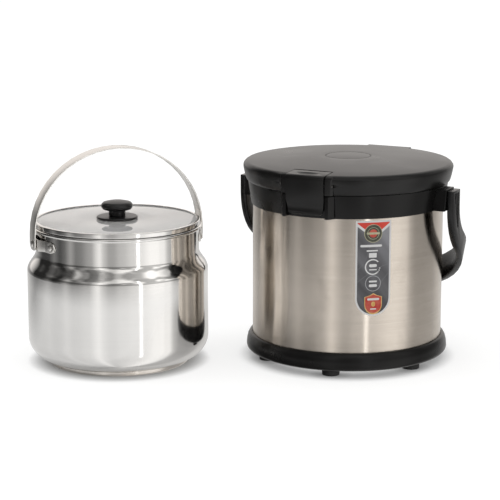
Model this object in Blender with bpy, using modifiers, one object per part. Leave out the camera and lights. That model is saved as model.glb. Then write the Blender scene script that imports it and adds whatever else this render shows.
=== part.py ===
"""Thermal cooker: an insulated carrying container, its hinged lid closed, and the steel pot that it takes.

The container stands with its latch toward -Y, its lid hinge toward +Y and its handle pivots on X.
The pot stands beside it on the same surface, with its glass lid on and its bail upright.
"""
import math

import bmesh
import bpy
from mathutils import Matrix, Vector

# Fits and facets
GAP = 0.0003
OVERRUN = 0.004
WELD = 0.000001
TURN_STEPS = 48
HIDDEN_STEPS = 30
SMALL_STEPS = 16
ARC_STEPS = 4
EVEN_ANGLE = 35

# Container wall: an outer and an inner steel shell with a vacuum between them
SHELL_RADIUS = 0.109
SHELL_WALL = 0.0008
STEEL_HEIGHT = 0.1514
VACUUM_GAP = 0.004
LINER_RADIUS = SHELL_RADIUS - VACUUM_GAP
LINER_FLOOR = 0.033
LINER_CORNER = 0.018
SHELL_LIP = 0.009
DISH_RIM = 0.017
DISH_FLAT = SHELL_RADIUS - DISH_RIM
DISH_RISE = 0.003

# Base ring and its feet
RING_HEIGHT = 0.0207
RING_LIP = 0.0013
RING_BULGE = 0.0069
RING_WIDEST = 0.0055
RING_TOE = 0.001
RING_TOE_WIDTH = 0.0018
RING_WEB = 0.003
RING_WEB_LIFT = 0.0037
RING_WEB_WIDTH = 0.025
RING_WEB_RADIUS = SHELL_RADIUS - RING_WEB_WIDTH
FOOT_COUNT = 6
FOOT_HEIGHT = 0.0076
FOOT_INSET = 0.0135
FOOT_CIRCLE = SHELL_RADIUS - FOOT_INSET
FOOT_RADIUS = 0.0098
FOOT_FLARE = 0.0006
FOOT_STEM = 0.004
FOOT_TURN = -77

# Collar: the plastic mouth ring that carries the handle bosses, the hinge ears and the latch catch
COLLAR_HEIGHT = 0.0262
COLLAR_TOP_STAND = 0.0054
COLLAR_FOOT_STAND = 0.0019
COLLAR_LIP = 0.0065
MOUTH_INSET = 0.0028
MOUTH_RADIUS = SHELL_RADIUS - MOUTH_INSET
SEAM_GAP = 0.0008

# Lid
LID_HEIGHT = 0.0274
LID_STAND = 0.011
LID_RADIUS = SHELL_RADIUS + LID_STAND
LID_SEAM_STAND = 0.0062
LID_EDGE = 0.006
LID_CROWN = 0.0052
LID_WALL = 0.0028
LID_RIM_INSET = 0.0013
LID_RIM_RADIUS = SHELL_RADIUS - LID_RIM_INSET
LID_RIM_HEIGHT = 0.006
LID_FLARE_SHARE = 0.6
CROWN_SHARES = (0.35, 0.6, 0.82)
LUG_TOP_SHARE = 0.75
LUG_TAPER_SHARE = 0.6
DISC_RADIUS = 0.0255
DISC_THICKNESS = 0.0014
DISC_SINK = 0.0004
DISC_GROOVE = 0.0007
PLUG_CLEARANCE = 0.0018
PLUG_RADIUS = LINER_RADIUS - PLUG_CLEARANCE
PLUG_DEPTH = 0.0065
PLUG_WIDTH = 0.006
RECESS_SLOPE = 0.0132
RECESS_RADIUS = PLUG_RADIUS - PLUG_WIDTH - RECESS_SLOPE
RECESS_HEIGHT = 0.0135
LINER_LIFT = 0.001
FOAM_INSET = 0.002
FOAM_RADIUS = RECESS_RADIUS - FOAM_INSET
SEAL_WIDTH = 0.0022
SEAL_HEIGHT = 0.0045
SEAL_LIP = 0.0012

# Lid hinge at the back
HINGE_REACH = 0.007
HINGE_LIFT = 0.0085
KNUCKLE_RADIUS = 0.0062
HINGE_PIN_RADIUS = 0.0018
LUG_HALF_WIDTH = 0.0268
EAR_THICKNESS = 0.005
BRACKET_DROP = 0.019
BRACKET_CLEARANCE = 0.0018

# Latch at the front
LATCH_HALF_WIDTH = 0.0228
LATCH_FOOT_HALF = 0.0185
LATCH_DEPTH = 0.024
LATCH_PLATE = 0.0026
LATCH_STAND = 0.0018
LATCH_FOOT_STAND = 0.0095
LATCH_FOOT_LIFT = 0.0042
LATCH_ROUND = 0.005
LATCH_PIN_RADIUS = 0.0015
LATCH_PIN_DEPTH = 0.0056
LATCH_PIN_DROP = 0.0165
LATCH_SCOOP_DEPTH = 0.0012
LATCH_SCOOP_HEIGHT = 0.0115
LATCH_LIP = 0.0022
LATCH_RIB = 0.003
LATCH_RIB_PLACE = 0.013
LATCH_BARREL = 0.0038
LATCH_SIDE_GAP = 0.0005
CHEEK_WIDTH = 0.004
CHEEK_STAND = 0.0017
CHEEK_SPREAD = 0.0042
CHEEK_SLOPE = 0.0067
RIB_STAND = 0.0092
POCKET_DEPTH = 0.0058
LATCH_REAR_GAP = 0.0024
POCKET_WALL = 0.002
SLOT_WALL = 0.0022
DIMPLE_HALF_LENGTH = 0.0155
DIMPLE_HALF_WIDTH = 0.0062
DIMPLE_DEPTH = 0.0012
CATCH_HALF_WIDTH = 0.014
CATCH_HEIGHT = 0.003
CATCH_DROP = 0.0044
CATCH_HOLD = 0.0012
HOOK_HALF_WIDTH = 0.012
HOOK_HEIGHT = 0.0036
SPRING_WIRE = 0.0008
SPRING_RADIUS = 0.0024
SPRING_PITCH = 0.0013
SPRING_TURNS = 4
SPRING_LEG = 0.004
SPRING_TURN_POINTS = 10

# Carry handle: one hoop that lies down behind the container
HOOP_STAND = 0.0194
HOOP_HALF = SHELL_RADIUS + HOOP_STAND
HOOP_BACK_STAND = 0.017
HOOP_REACH = SHELL_RADIUS + HOOP_BACK_STAND
HOOP_POWER = 1.2
ARM_WIDTH = 0.024
ARM_TOP_DROP = 0.0034
STRAP_THICKNESS = 0.0075
STRAP_ROUND = 0.0016
STRAP_ROUND_STEPS = 2
GRIP_WIDTH = 0.0309
GRIP_LEAN = 23.7
GRIP_ANGLE = 44
PIVOT_DROP = 0.013
ARM_DROP = 0.010
BEND_RADIUS = 0.0525
BEND_ANGLE = 55.2
BEND_STEPS = 6
HOOP_STEPS = 13
HANDLE_PIN_RADIUS = 0.0025
HANDLE_PIN_REACH = 0.0052
HANDLE_PIN_ROOT = 0.007
BOSS_TOP_HALF = 0.012
BOSS_FOOT_HALF = 0.0175
BOSS_EDGE = 0.0012
GROOVE_COUNT = 3
GROOVE_PITCH = 0.0056
GROOVE_WIDTH = 0.0036
GROOVE_TIP = 0.0008
GROOVE_DEPTH = 0.0009
GROOVE_TOP_DROP = 0.003
GROOVE_LENGTH = 0.040
GROOVE_LEAN = 0.0055

# Pot
POT_WALL = 0.0008
POT_CLEARANCE = 0.002
POT_RADIUS = LINER_RADIUS - POT_CLEARANCE
POT_CORNER = 0.024
POT_NECK_STEP = 0.010
POT_NECK_RADIUS = POT_RADIUS - POT_NECK_STEP
POT_RIM = 0.1583
POT_NECK_HEIGHT = 0.0293
POT_SHOULDER_HEIGHT = 0.022
POT_SHOULDER_TOP = POT_RIM - POT_NECK_HEIGHT
POT_SHOULDER_FOOT = POT_SHOULDER_TOP - POT_SHOULDER_HEIGHT
POT_BEAD = 0.0034
POT_BEAD_HEIGHT = 0.0038
BASE_DISC_INSET = 0.022
BASE_DISC_RADIUS = POT_RADIUS - BASE_DISC_INSET
BASE_DISC_HEIGHT = 0.0055
BASE_DISC_EDGE = 0.0015
POT_PLACE = (-0.226, -0.137)
POT_TURN = 48.5

# Bail and its brackets
BAIL_STAND = 0.0073
BAIL_HALF = POT_NECK_RADIUS + BAIL_STAND
BAIL_WIDTH = 0.020
BAIL_THICKNESS = 0.0015
BAIL_LEG = 0.0093
BAIL_FLATTENING = 0.0051
BAIL_RISE = BAIL_HALF - BAIL_FLATTENING
BAIL_TIP = 0.0074
BAIL_CORNER = 0.007
BAIL_PLAY = 0.0007
BAIL_STEPS = 24
BAIL_PIVOT_DROP = 0.0158
BAIL_PIVOT_HEIGHT = POT_RIM - BAIL_PIVOT_DROP
STRAP_PLATE = 0.0015
STRAP_HEIGHT = 0.013
STRAP_HALF_LENGTH = 0.0389
STRAP_END_SHARES = (1, 0.8, 0.6)
STRAP_HUMP_HALF = 0.015
STRAP_HUMP_SLOPE = 0.0064
RIVET_PLACE = 0.0319
RIVET_RADIUS = 0.002
RIVET_HEAD = 0.0036
RIVET_HEAD_HEIGHT = 0.0011
PIVOT_RADIUS = 0.0025
PIVOT_HEAD = 0.0044
PIVOT_HEAD_HEIGHT = 0.0014

# Glass lid of the pot
GLASS_THICKNESS = 0.0035
GLASS_CROWN = 0.0012
GLASS_MIDDLE_SHARE = 0.6
BAND_STAND = 0.0012
BAND_RADIUS = POT_NECK_RADIUS + BAND_STAND
BAND_SHEET = 0.0007
BAND_GRIP = 0.0036
BAND_STEP_WIDTH = 0.0016
BAND_STEP_DEPTH = 0.0045
BAND_CLEARANCE = 0.0005
FLANGE_RADIUS = 0.0235
FLANGE_HEIGHT = 0.0026
KNOB_NECK_RADIUS = 0.0095
KNOB_NECK_HEIGHT = 0.007
KNOB_RADIUS = 0.018
KNOB_HEIGHT = 0.0105
KNOB_CROWN = 0.0015
SCREW_RADIUS = 0.0025
SCREW_REACH = 0.010
SCREW_HEAD = 0.0065
SCREW_HEAD_HEIGHT = 0.0024

# Levels and radii that follow from the driving sizes
RING_TOP = FOOT_HEIGHT + RING_HEIGHT
WEB_TOP = FOOT_HEIGHT + RING_WEB_LIFT + RING_WEB
COLLAR_BOTTOM = RING_TOP + STEEL_HEIGHT
SEAM = COLLAR_BOTTOM + COLLAR_HEIGHT
COLLAR_TOP = SEAM - SEAM_GAP / 2
LID_BOTTOM = SEAM + SEAM_GAP / 2
LID_TOP = SEAM + LID_HEIGHT
FLANGE_TOP = COLLAR_TOP - COLLAR_LIP - GAP
SHELL_TOP = FLANGE_TOP - SHELL_WALL - GAP
EDGE_CENTRE_RADIUS = LID_RADIUS - LID_EDGE
EDGE_CENTRE_HEIGHT = LID_TOP - LID_CROWN - LID_EDGE
HINGE_Y = LID_RADIUS + HINGE_REACH
HINGE_Z = SEAM + HINGE_LIFT
LATCH_FRONT = LID_RADIUS + LATCH_STAND
LATCH_PIN_Y = -(LATCH_FRONT - LATCH_PLATE - LATCH_PIN_DEPTH + LATCH_PIN_RADIUS)
LATCH_PIN_Z = LID_TOP - LATCH_PIN_DROP
CHEEK_INNER = LATCH_HALF_WIDTH + LATCH_SIDE_GAP
PIVOT_Z = SEAM - PIVOT_DROP
ARM_TOP = SEAM - ARM_TOP_DROP
ARM_INNER = HOOP_HALF - STRAP_THICKNESS / 2
ARM_OUTER = HOOP_HALF + STRAP_THICKNESS / 2
BOSS_FACE = ARM_INNER - GAP
POT_FLOOR = BASE_DISC_HEIGHT + GAP
BAIL_INNER = BAIL_HALF - BAIL_THICKNESS
BAND_BOTTOM = POT_RIM + GAP
GLASS_EDGE_BOTTOM = BAND_BOTTOM + BAND_SHEET + GAP
GLASS_TOP = GLASS_EDGE_BOTTOM + GLASS_THICKNESS + GLASS_CROWN


def clear_scene():
    """Removes whatever a new file starts with."""
    for item in list(bpy.data.objects):
        bpy.data.objects.remove(item, do_unlink=True)


def new_collection(name):
    """A collection linked to the scene."""
    collection = bpy.data.collections.new(name)
    bpy.context.scene.collection.children.link(collection)
    return collection


def finish(name, colour, roughness, metallic, alpha=1.0):
    """A Principled material for one piece."""
    material = bpy.data.materials.new(name)
    material.use_nodes = True
    shader = material.node_tree.nodes["Principled BSDF"]
    shader.inputs["Base Color"].default_value = (*colour, 1)
    shader.inputs["Roughness"].default_value = roughness
    shader.inputs["Metallic"].default_value = metallic
    shader.inputs["Alpha"].default_value = alpha
    return material


def black_plastic(name):
    """Satin black moulded plastic."""
    return finish(name, (0.012, 0.012, 0.013), 0.42, 0.0)


def brushed_steel(name):
    """Warm brushed stainless steel."""
    return finish(name, (0.52, 0.49, 0.46), 0.34, 1.0)


def bright_steel(name):
    """Polished stainless steel."""
    return finish(name, (0.68, 0.67, 0.65), 0.14, 1.0)


def black_rubber(name):
    """Black rubber of the feet."""
    return finish(name, (0.015, 0.015, 0.015), 0.75, 0.0)


def grey_silicone(name):
    """Translucent grey silicone of the seal."""
    return finish(name, (0.45, 0.45, 0.44), 0.55, 0.0)


def clear_glass(name):
    """Clear glass of the pot's lid."""
    return finish(name, (0.86, 0.89, 0.88), 0.05, 0.0, 0.45)


def white_foam(name):
    """Insulating foam inside the lid."""
    return finish(name, (0.85, 0.84, 0.80), 0.9, 0.0)


class Model:
    """The two collections and the empties that place the pieces."""

    def __init__(self):
        self.pieces = new_collection("thermal_cooker")
        self.tools = new_collection("thermal_cooker_cutters")
        self.places = {}
        self.offsets = {}

    def unit(self, name, position=(0, 0, 0), turn=0, parent=None):
        """An empty at a unit's own origin; the unit's pieces are drawn in its frame."""
        empty = bpy.data.objects.new(name, None)
        self.pieces.objects.link(empty)
        empty.location = position
        empty.rotation_euler.z = math.radians(turn)
        if parent:
            empty.parent = self.places[parent]
        self.places[name] = empty
        self.offsets[name] = Vector((0, 0, 0))

    def axis(self, name, position, parent):
        """An empty on a joint's axis, placed in its unit's frame."""
        self.unit(name, Vector(position) - self.offsets[parent], 0, parent)
        self.offsets[name] = Vector(position)

    def piece(self, name, mesh, material, parent, shift=(0, 0, 0)):
        """A named piece of the object, drawn in its unit's frame and hung on one of the empties."""
        item = bpy.data.objects.new(name, mesh)
        item.data.materials.clear()
        item.data.materials.append(material(name))
        self.pieces.objects.link(item)
        item.parent = self.places[parent]
        item.location = Vector(shift) - self.offsets[parent]
        return item

    def tool(self, name, mesh, parent, shift=(0, 0, 0)):
        """A body used only to cut or join others."""
        item = bpy.data.objects.new(name, mesh)
        self.tools.objects.link(item)
        item.parent = self.places[parent]
        item.location = shift
        item.hide_render = True
        item.display_type = "WIRE"
        return item


def combine(item, tool, operation):
    """An exact Boolean between a piece and a tool body."""
    modifier = item.modifiers.new(tool.name, "BOOLEAN")
    modifier.operation = operation
    modifier.object = tool
    modifier.solver = "EXACT"


def mesh_from(bm, name):
    """A mesh from bmesh data, shaded smooth across shallow angles."""
    bmesh.ops.recalc_face_normals(bm, faces=bm.faces)
    mesh = bpy.data.meshes.new(name)
    bm.to_mesh(mesh)
    bm.free()
    mesh.shade_smooth()
    mesh.set_sharp_from_angle(angle=math.radians(EVEN_ANGLE))
    return mesh


def box_mesh(name, low, high):
    """A box between two corners."""
    low = Vector(low)
    high = Vector(high)
    bm = bmesh.new()
    matrix = Matrix.Translation((low + high) / 2) @ Matrix.Diagonal((*(high - low), 1))
    bmesh.ops.create_cube(bm, size=1, matrix=matrix)
    return mesh_from(bm, name)


def rod_mesh(name, start, end, radius, end_radius=None, steps=SMALL_STEPS):
    """A round rod or cone between two points."""
    start = Vector(start)
    end = Vector(end)
    along = end - start
    turn = along.to_track_quat("Z", "Y").to_matrix().to_4x4()
    bm = bmesh.new()
    bmesh.ops.create_cone(
        bm,
        cap_ends=True,
        segments=steps,
        radius1=radius,
        radius2=radius if end_radius is None else end_radius,
        depth=along.length,
        matrix=Matrix.Translation((start + end) / 2) @ turn,
    )
    return mesh_from(bm, name)


def spun_mesh(name, profile, steps, closed):
    """The mesh of a profile that a Screw modifier turns about Z, with the modifier's result applied."""
    mesh = bpy.data.meshes.new(name)
    points = [(radius, 0, height) for radius, height in profile]
    edges = list(zip(range(len(points)), range(1, len(points))))
    if closed:
        edges.append((edges[-1][1], 0))
    mesh.from_pydata(points, edges, [])
    item = bpy.data.objects.new(name, mesh)
    screw = item.modifiers.new("turn", "SCREW")
    screw.angle = math.tau
    screw.steps = steps
    screw.render_steps = steps
    screw.use_merge_vertices = True
    screw.merge_threshold = WELD
    return applied(item, name)


def applied(item, name):
    """The mesh of an object with its modifiers applied; the object itself is removed."""
    bpy.context.scene.collection.objects.link(item)
    bpy.context.view_layer.update()
    graph = bpy.context.evaluated_depsgraph_get()
    mesh = bpy.data.meshes.new_from_object(item.evaluated_get(graph))
    matrix = item.matrix_world.copy()
    bpy.data.objects.remove(item, do_unlink=True)
    bm = bmesh.new()
    bm.from_mesh(mesh)
    bmesh.ops.remove_doubles(bm, verts=bm.verts, dist=WELD)
    bmesh.ops.transform(bm, matrix=matrix, verts=bm.verts)
    return mesh_from(bm, name)


def plate_mesh(name, outline, low, high, axes="XY"):
    """A flat outline extruded between two levels.

    axes names the directions of the outline's two coordinates: XY, YZ or XZ.
    """
    curve = bpy.data.curves.new(name, "CURVE")
    curve.dimensions = "2D"
    curve.fill_mode = "BOTH"
    curve.extrude = (high - low) / 2
    spline = curve.splines.new("POLY")
    spline.points.add(len(outline[1:]))
    for point, (u, v) in zip(spline.points, outline):
        point.co = (u, v, 0, 1)
    spline.use_cyclic_u = True
    item = bpy.data.objects.new(name, curve)
    middle = (low + high) / 2
    frames = {
        "XY": Matrix(((1, 0, 0, 0), (0, 1, 0, 0), (0, 0, 1, middle), (0, 0, 0, 1))),
        "YZ": Matrix(((0, 0, 1, middle), (1, 0, 0, 0), (0, 1, 0, 0), (0, 0, 0, 1))),
        "XZ": Matrix(((1, 0, 0, 0), (0, 0, -1, middle), (0, 1, 0, 0), (0, 0, 0, 1))),
    }
    item.matrix_world = frames[axes]
    return applied(item, name)


def soften(item, width, segments=2):
    """Rounds the sharp edges of a piece."""
    bevel = item.modifiers.new("rounded_edges", "BEVEL")
    bevel.width = width
    bevel.segments = segments
    bevel.limit_method = "ANGLE"
    bevel.angle_limit = math.radians(EVEN_ANGLE)


def arc(centre, radius, start, end, steps=ARC_STEPS):
    """Points of a circular arc, angles in degrees."""
    points = []
    for i in range(steps + 1):
        angle = math.radians(start + (end - start) * i / steps)
        points.append((centre[0] + radius * math.cos(angle), centre[1] + radius * math.sin(angle)))
    return points


def polar(radius, angle):
    """A point on a circle about Z, angle in degrees."""
    return radius * math.cos(math.radians(angle)), radius * math.sin(math.radians(angle))


def build_shells(model):
    """The outer wall, its bottom dish and the inner liner."""
    lip_bottom = WEB_TOP + GAP
    wall = [
        (SHELL_RADIUS, SHELL_TOP),
        (SHELL_RADIUS, lip_bottom + SHELL_WALL),
        (SHELL_RADIUS - SHELL_WALL, lip_bottom),
        (SHELL_RADIUS - SHELL_LIP, lip_bottom),
        (SHELL_RADIUS - SHELL_LIP, lip_bottom + SHELL_WALL),
        (SHELL_RADIUS - SHELL_WALL, lip_bottom + SHELL_WALL),
        (SHELL_RADIUS - SHELL_WALL, SHELL_TOP),
    ]
    mesh = spun_mesh("outer_shell", wall, TURN_STEPS, True)
    model.piece("outer_shell", mesh, brushed_steel, "container")
    low = lip_bottom + SHELL_WALL + GAP
    edge = SHELL_RADIUS - SHELL_WALL - GAP
    dish = [
        (0, low + DISH_RISE + SHELL_WALL),
        (DISH_FLAT, low + DISH_RISE + SHELL_WALL),
        (DISH_FLAT + DISH_RISE, low + SHELL_WALL),
        (edge, low + SHELL_WALL),
        (edge, low),
        (DISH_FLAT + DISH_RISE, low),
        (DISH_FLAT, low + DISH_RISE),
        (0, low + DISH_RISE),
    ]
    mesh = spun_mesh("shell_bottom", dish, HIDDEN_STEPS, False)
    model.piece("shell_bottom", mesh, brushed_steel, "container")
    outer = LINER_RADIUS + SHELL_WALL
    inner_corner = LINER_CORNER - SHELL_WALL
    liner = [(0, LINER_FLOOR)]
    liner += arc((LINER_RADIUS - inner_corner, LINER_FLOOR + inner_corner), inner_corner, 270, 360)
    liner += [
        (LINER_RADIUS, FLANGE_TOP),
        (SHELL_RADIUS, FLANGE_TOP),
        (SHELL_RADIUS, FLANGE_TOP - SHELL_WALL),
        (outer, FLANGE_TOP - SHELL_WALL),
    ]
    liner += arc((outer - LINER_CORNER, LINER_FLOOR - SHELL_WALL + LINER_CORNER), LINER_CORNER, 0, -90)
    liner += [(0, LINER_FLOOR - SHELL_WALL)]
    mesh = spun_mesh("inner_liner", liner, HIDDEN_STEPS, False)
    model.piece("inner_liner", mesh, bright_steel, "container")


def ring_profile():
    """Section of the base ring: a bowed outside, a web for the feet and a seat for the shell."""
    widest = FOOT_HEIGHT + RING_WIDEST
    toe = SHELL_RADIUS - RING_TOE
    points = []
    for i in range(ARC_STEPS + 1):
        angle = math.pi / 2 * i / ARC_STEPS
        radius = SHELL_RADIUS + RING_LIP + (RING_BULGE - RING_LIP) * math.sin(angle)
        points.append((radius, widest + (RING_TOP - widest) * math.cos(angle)))
    for i in range(1, ARC_STEPS + 1):
        angle = math.pi / 2 * i / ARC_STEPS
        radius = toe + (RING_TOE + RING_BULGE) * math.cos(angle)
        points.append((radius, widest - RING_WIDEST * math.sin(angle)))
    web_bottom = WEB_TOP - RING_WEB
    points += [
        (toe - RING_TOE_WIDTH, FOOT_HEIGHT),
        (toe - RING_TOE_WIDTH, web_bottom),
        (RING_WEB_RADIUS, web_bottom),
        (RING_WEB_RADIUS, WEB_TOP),
        (SHELL_RADIUS + GAP, WEB_TOP),
        (SHELL_RADIUS + GAP, RING_TOP),
    ]
    return points


def build_base(model):
    """The base ring with its six pressed-in feet."""
    mesh = spun_mesh("base_ring", ring_profile(), TURN_STEPS, True)
    ring = model.piece("base_ring", mesh, black_plastic, "container")
    web_bottom = WEB_TOP - RING_WEB
    for i in range(FOOT_COUNT):
        x, y = polar(FOOT_CIRCLE, FOOT_TURN + 360 * i / FOOT_COUNT)
        hole = rod_mesh(
            f"foot_hole_{i + 1}",
            (x, y, web_bottom - OVERRUN),
            (x, y, WEB_TOP + OVERRUN),
            FOOT_STEM + GAP,
            steps=SMALL_STEPS,
        )
        combine(ring, model.tool(f"foot_hole_{i + 1}", hole, "container"), "DIFFERENCE")
        head = web_bottom - GAP
        profile = [
            (0, WEB_TOP - GAP),
            (FOOT_STEM, WEB_TOP - GAP),
            (FOOT_STEM, head),
            (FOOT_RADIUS + FOOT_FLARE, head),
            (FOOT_RADIUS, FOOT_FLARE / 2),
            (FOOT_RADIUS - FOOT_FLARE / 2, 0),
            (0, 0),
        ]
        foot = spun_mesh(f"foot_{i + 1}", profile, SMALL_STEPS, False)
        model.piece(f"foot_{i + 1}", foot, black_rubber, "container", (x, y, 0))


def cheek_outline(side, reach, root):
    """Plan of one raised cheek beside the latch: square to the latch, sloping away outside."""
    inner = CHEEK_INNER
    outer = inner + CHEEK_WIDTH
    spread = outer + CHEEK_SPREAD
    slope = CHEEK_SLOPE - reach
    points = [(inner, -root), (inner, -reach), (outer, -reach), (spread, slope), (spread, -root)]
    points = [(side * x, y) for x, y in points]
    return points if side < 0 else points[::-1]


def build_collar(model):
    """The mouth ring with handle bosses, hinge ears, latch cheeks and catch, bored for the pins."""
    profile = [
        (SHELL_RADIUS + COLLAR_TOP_STAND, COLLAR_TOP),
        (SHELL_RADIUS + COLLAR_FOOT_STAND, COLLAR_BOTTOM),
        (SHELL_RADIUS + GAP, COLLAR_BOTTOM),
        (SHELL_RADIUS + GAP, FLANGE_TOP + GAP),
        (MOUTH_RADIUS, FLANGE_TOP + GAP),
        (MOUTH_RADIUS, COLLAR_TOP),
    ]
    mesh = spun_mesh("collar", profile, TURN_STEPS, True)
    collar = model.piece("collar", mesh, black_plastic, "container")
    for side, word in ((1, "right"), (-1, "left")):
        add_boss(model, collar, side, word)
        add_ear(model, collar, side, word)
        reach = SHELL_RADIUS + RIB_STAND
        cheek = plate_mesh(
            f"cheek_{word}",
            cheek_outline(side, reach, SHELL_RADIUS + GAP * 2),
            COLLAR_BOTTOM + BOSS_EDGE / 2,
            COLLAR_TOP - BOSS_EDGE / 4,
        )
        combine(collar, model.tool(f"cheek_{word}", cheek, "container"), "UNION")
    add_hinge_base(model, collar)
    add_catch(model, collar)
    bore_collar(model, collar)


def add_boss(model, collar, side, word):
    """A tapered block that carries one handle pivot."""
    top = COLLAR_TOP - BOSS_EDGE
    foot = COLLAR_BOTTOM + BOSS_EDGE / 2
    outline = [
        (-BOSS_FOOT_HALF, foot),
        (BOSS_FOOT_HALF, foot),
        (BOSS_TOP_HALF, top),
        (-BOSS_TOP_HALF, top),
    ]
    low, high = sorted((side * (SHELL_RADIUS + GAP * 2), side * BOSS_FACE))
    boss = plate_mesh(f"boss_{word}", outline, low, high, "YZ")
    tool = model.tool(f"boss_{word}", boss, "container")
    soften(tool, BOSS_EDGE / 2, 1)
    combine(collar, tool, "UNION")


def add_ear(model, collar, side, word):
    """One of the two ears that hold the lid's hinge pin."""
    foot = SEAM - BRACKET_CLEARANCE - EAR_THICKNESS / 2
    outline = arc((HINGE_Y, HINGE_Z), KNUCKLE_RADIUS, 0, 180, 2 * ARC_STEPS)
    outline += [(HINGE_Y - KNUCKLE_RADIUS, foot), (HINGE_Y + KNUCKLE_RADIUS, foot)]
    inner = LUG_HALF_WIDTH + GAP
    low, high = sorted((side * inner, side * (inner + EAR_THICKNESS)))
    ear = plate_mesh(f"ear_{word}", outline, low, high, "YZ")
    combine(collar, model.tool(f"ear_{word}", ear, "container"), "UNION")


def add_hinge_base(model, collar):
    """The bracket behind the collar from which the hinge ears rise."""
    back = HINGE_Y + KNUCKLE_RADIUS - GAP
    front = SHELL_RADIUS - KNUCKLE_RADIUS
    top = SEAM - BRACKET_CLEARANCE
    bottom = SEAM - BRACKET_DROP
    outline = [
        (front, bottom),
        (SHELL_RADIUS + COLLAR_TOP_STAND, bottom),
        (back, top - KNUCKLE_RADIUS),
        (back, top),
        (front, top),
    ]
    half = LUG_HALF_WIDTH + EAR_THICKNESS - GAP
    base = model.tool("hinge_base", plate_mesh("hinge_base", outline, -half, half, "YZ"), "container")
    core = rod_mesh(
        "hinge_base_core",
        (0, 0, bottom - OVERRUN),
        (0, 0, top + OVERRUN),
        SHELL_RADIUS + GAP * 4,
        steps=TURN_STEPS,
    )
    combine(base, model.tool("hinge_base_core", core, "container"), "DIFFERENCE")
    combine(collar, base, "UNION")


def catch_levels():
    """Top and bottom of the collar's catch."""
    top = SEAM - CATCH_DROP
    return top, top - CATCH_HEIGHT


def add_catch(model, collar):
    """The ledge under which the latch hooks."""
    top, bottom = catch_levels()
    reach = latch_inner(bottom) - GAP
    low = (-CATCH_HALF_WIDTH, -reach, bottom)
    high = (CATCH_HALF_WIDTH, -SHELL_RADIUS - GAP * 2, top)
    catch = box_mesh("catch", low, high)
    combine(collar, model.tool("catch", catch, "container"), "UNION")


def bore_collar(model, collar):
    """Holes for the hinge pin and the two handle pins."""
    reach = LUG_HALF_WIDTH + EAR_THICKNESS + OVERRUN
    bore = rod_mesh(
        "hinge_bore",
        (-reach, HINGE_Y, HINGE_Z),
        (reach, HINGE_Y, HINGE_Z),
        HINGE_PIN_RADIUS + GAP,
        steps=SMALL_STEPS,
    )
    combine(collar, model.tool("hinge_bore", bore, "container"), "DIFFERENCE")
    for side, word in ((1, "right"), (-1, "left")):
        bore = rod_mesh(
            f"boss_bore_{word}",
            (side * (BOSS_FACE - HANDLE_PIN_ROOT - GAP), 0, PIVOT_Z),
            (side * (BOSS_FACE + OVERRUN), 0, PIVOT_Z),
            HANDLE_PIN_RADIUS + GAP,
        )
        combine(collar, model.tool(f"boss_bore_{word}", bore, "container"), "DIFFERENCE")


def crown(radius):
    """Height of the lid's top surface at a radius."""
    return LID_TOP - LID_CROWN * (radius / EDGE_CENTRE_RADIUS) ** 2


def lid_outline(steps=6):
    """The lid's outside from its centre to the seam: crown, rounded edge and flared side."""
    points = [(0, LID_TOP)]
    for share in CROWN_SHARES:
        radius = EDGE_CENTRE_RADIUS * share
        points.append((radius, crown(radius)))
    points += arc((EDGE_CENTRE_RADIUS, EDGE_CENTRE_HEIGHT), LID_EDGE, 90, 0)
    seam_radius = SHELL_RADIUS + LID_SEAM_STAND
    height = EDGE_CENTRE_HEIGHT - LID_BOTTOM
    for i in range(steps - 1, -1, -1):
        level = (i / steps) ** (1 / LID_FLARE_SHARE)
        radius = seam_radius + (LID_RADIUS - seam_radius) * i / steps
        points.append((radius, LID_BOTTOM + height * level))
    return points


def lid_inside():
    """The lid cover's inside from its rim back to its centre."""
    inner_edge = EDGE_CENTRE_RADIUS
    rim_top = LID_BOTTOM + LID_RIM_HEIGHT
    wall_foot = SHELL_RADIUS + LID_SEAM_STAND - LID_WALL
    return [
        (LID_RIM_RADIUS, LID_BOTTOM),
        (LID_RIM_RADIUS, rim_top),
        (wall_foot, rim_top + LID_WALL),
        (inner_edge, EDGE_CENTRE_HEIGHT),
        (inner_edge - LID_WALL, crown(inner_edge) - LID_WALL),
        (EDGE_CENTRE_RADIUS / 2, crown(EDGE_CENTRE_RADIUS / 2) - LID_WALL),
        (0, LID_TOP - LID_WALL),
    ]


def cut_disc_seat(model, cover):
    """A round seat in the lid's centre for the inset disc, with a fine groove round it."""
    seat = rod_mesh(
        "disc_seat",
        (0, 0, LID_TOP - DISC_SINK - DISC_THICKNESS - GAP),
        (0, 0, LID_TOP + OVERRUN),
        DISC_RADIUS + DISC_GROOVE,
        steps=HIDDEN_STEPS,
    )
    combine(cover, model.tool("disc_seat", seat, "container"), "DIFFERENCE")


def house_plan(reach, root):
    """Plan of the raised housing round the latch: cheeks that slope away on both sides."""
    outer = CHEEK_INNER + CHEEK_WIDTH
    spread = outer + CHEEK_SPREAD
    return [
        (-spread, -root),
        (-spread, -reach + CHEEK_SLOPE),
        (-outer, -reach),
        (outer, -reach),
        (spread, -reach + CHEEK_SLOPE),
        (spread, -root),
    ]


def pocket_floor():
    """Height of the pocket under the latch's finger plate."""
    return crown(EDGE_CENTRE_RADIUS) - POCKET_DEPTH


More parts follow.
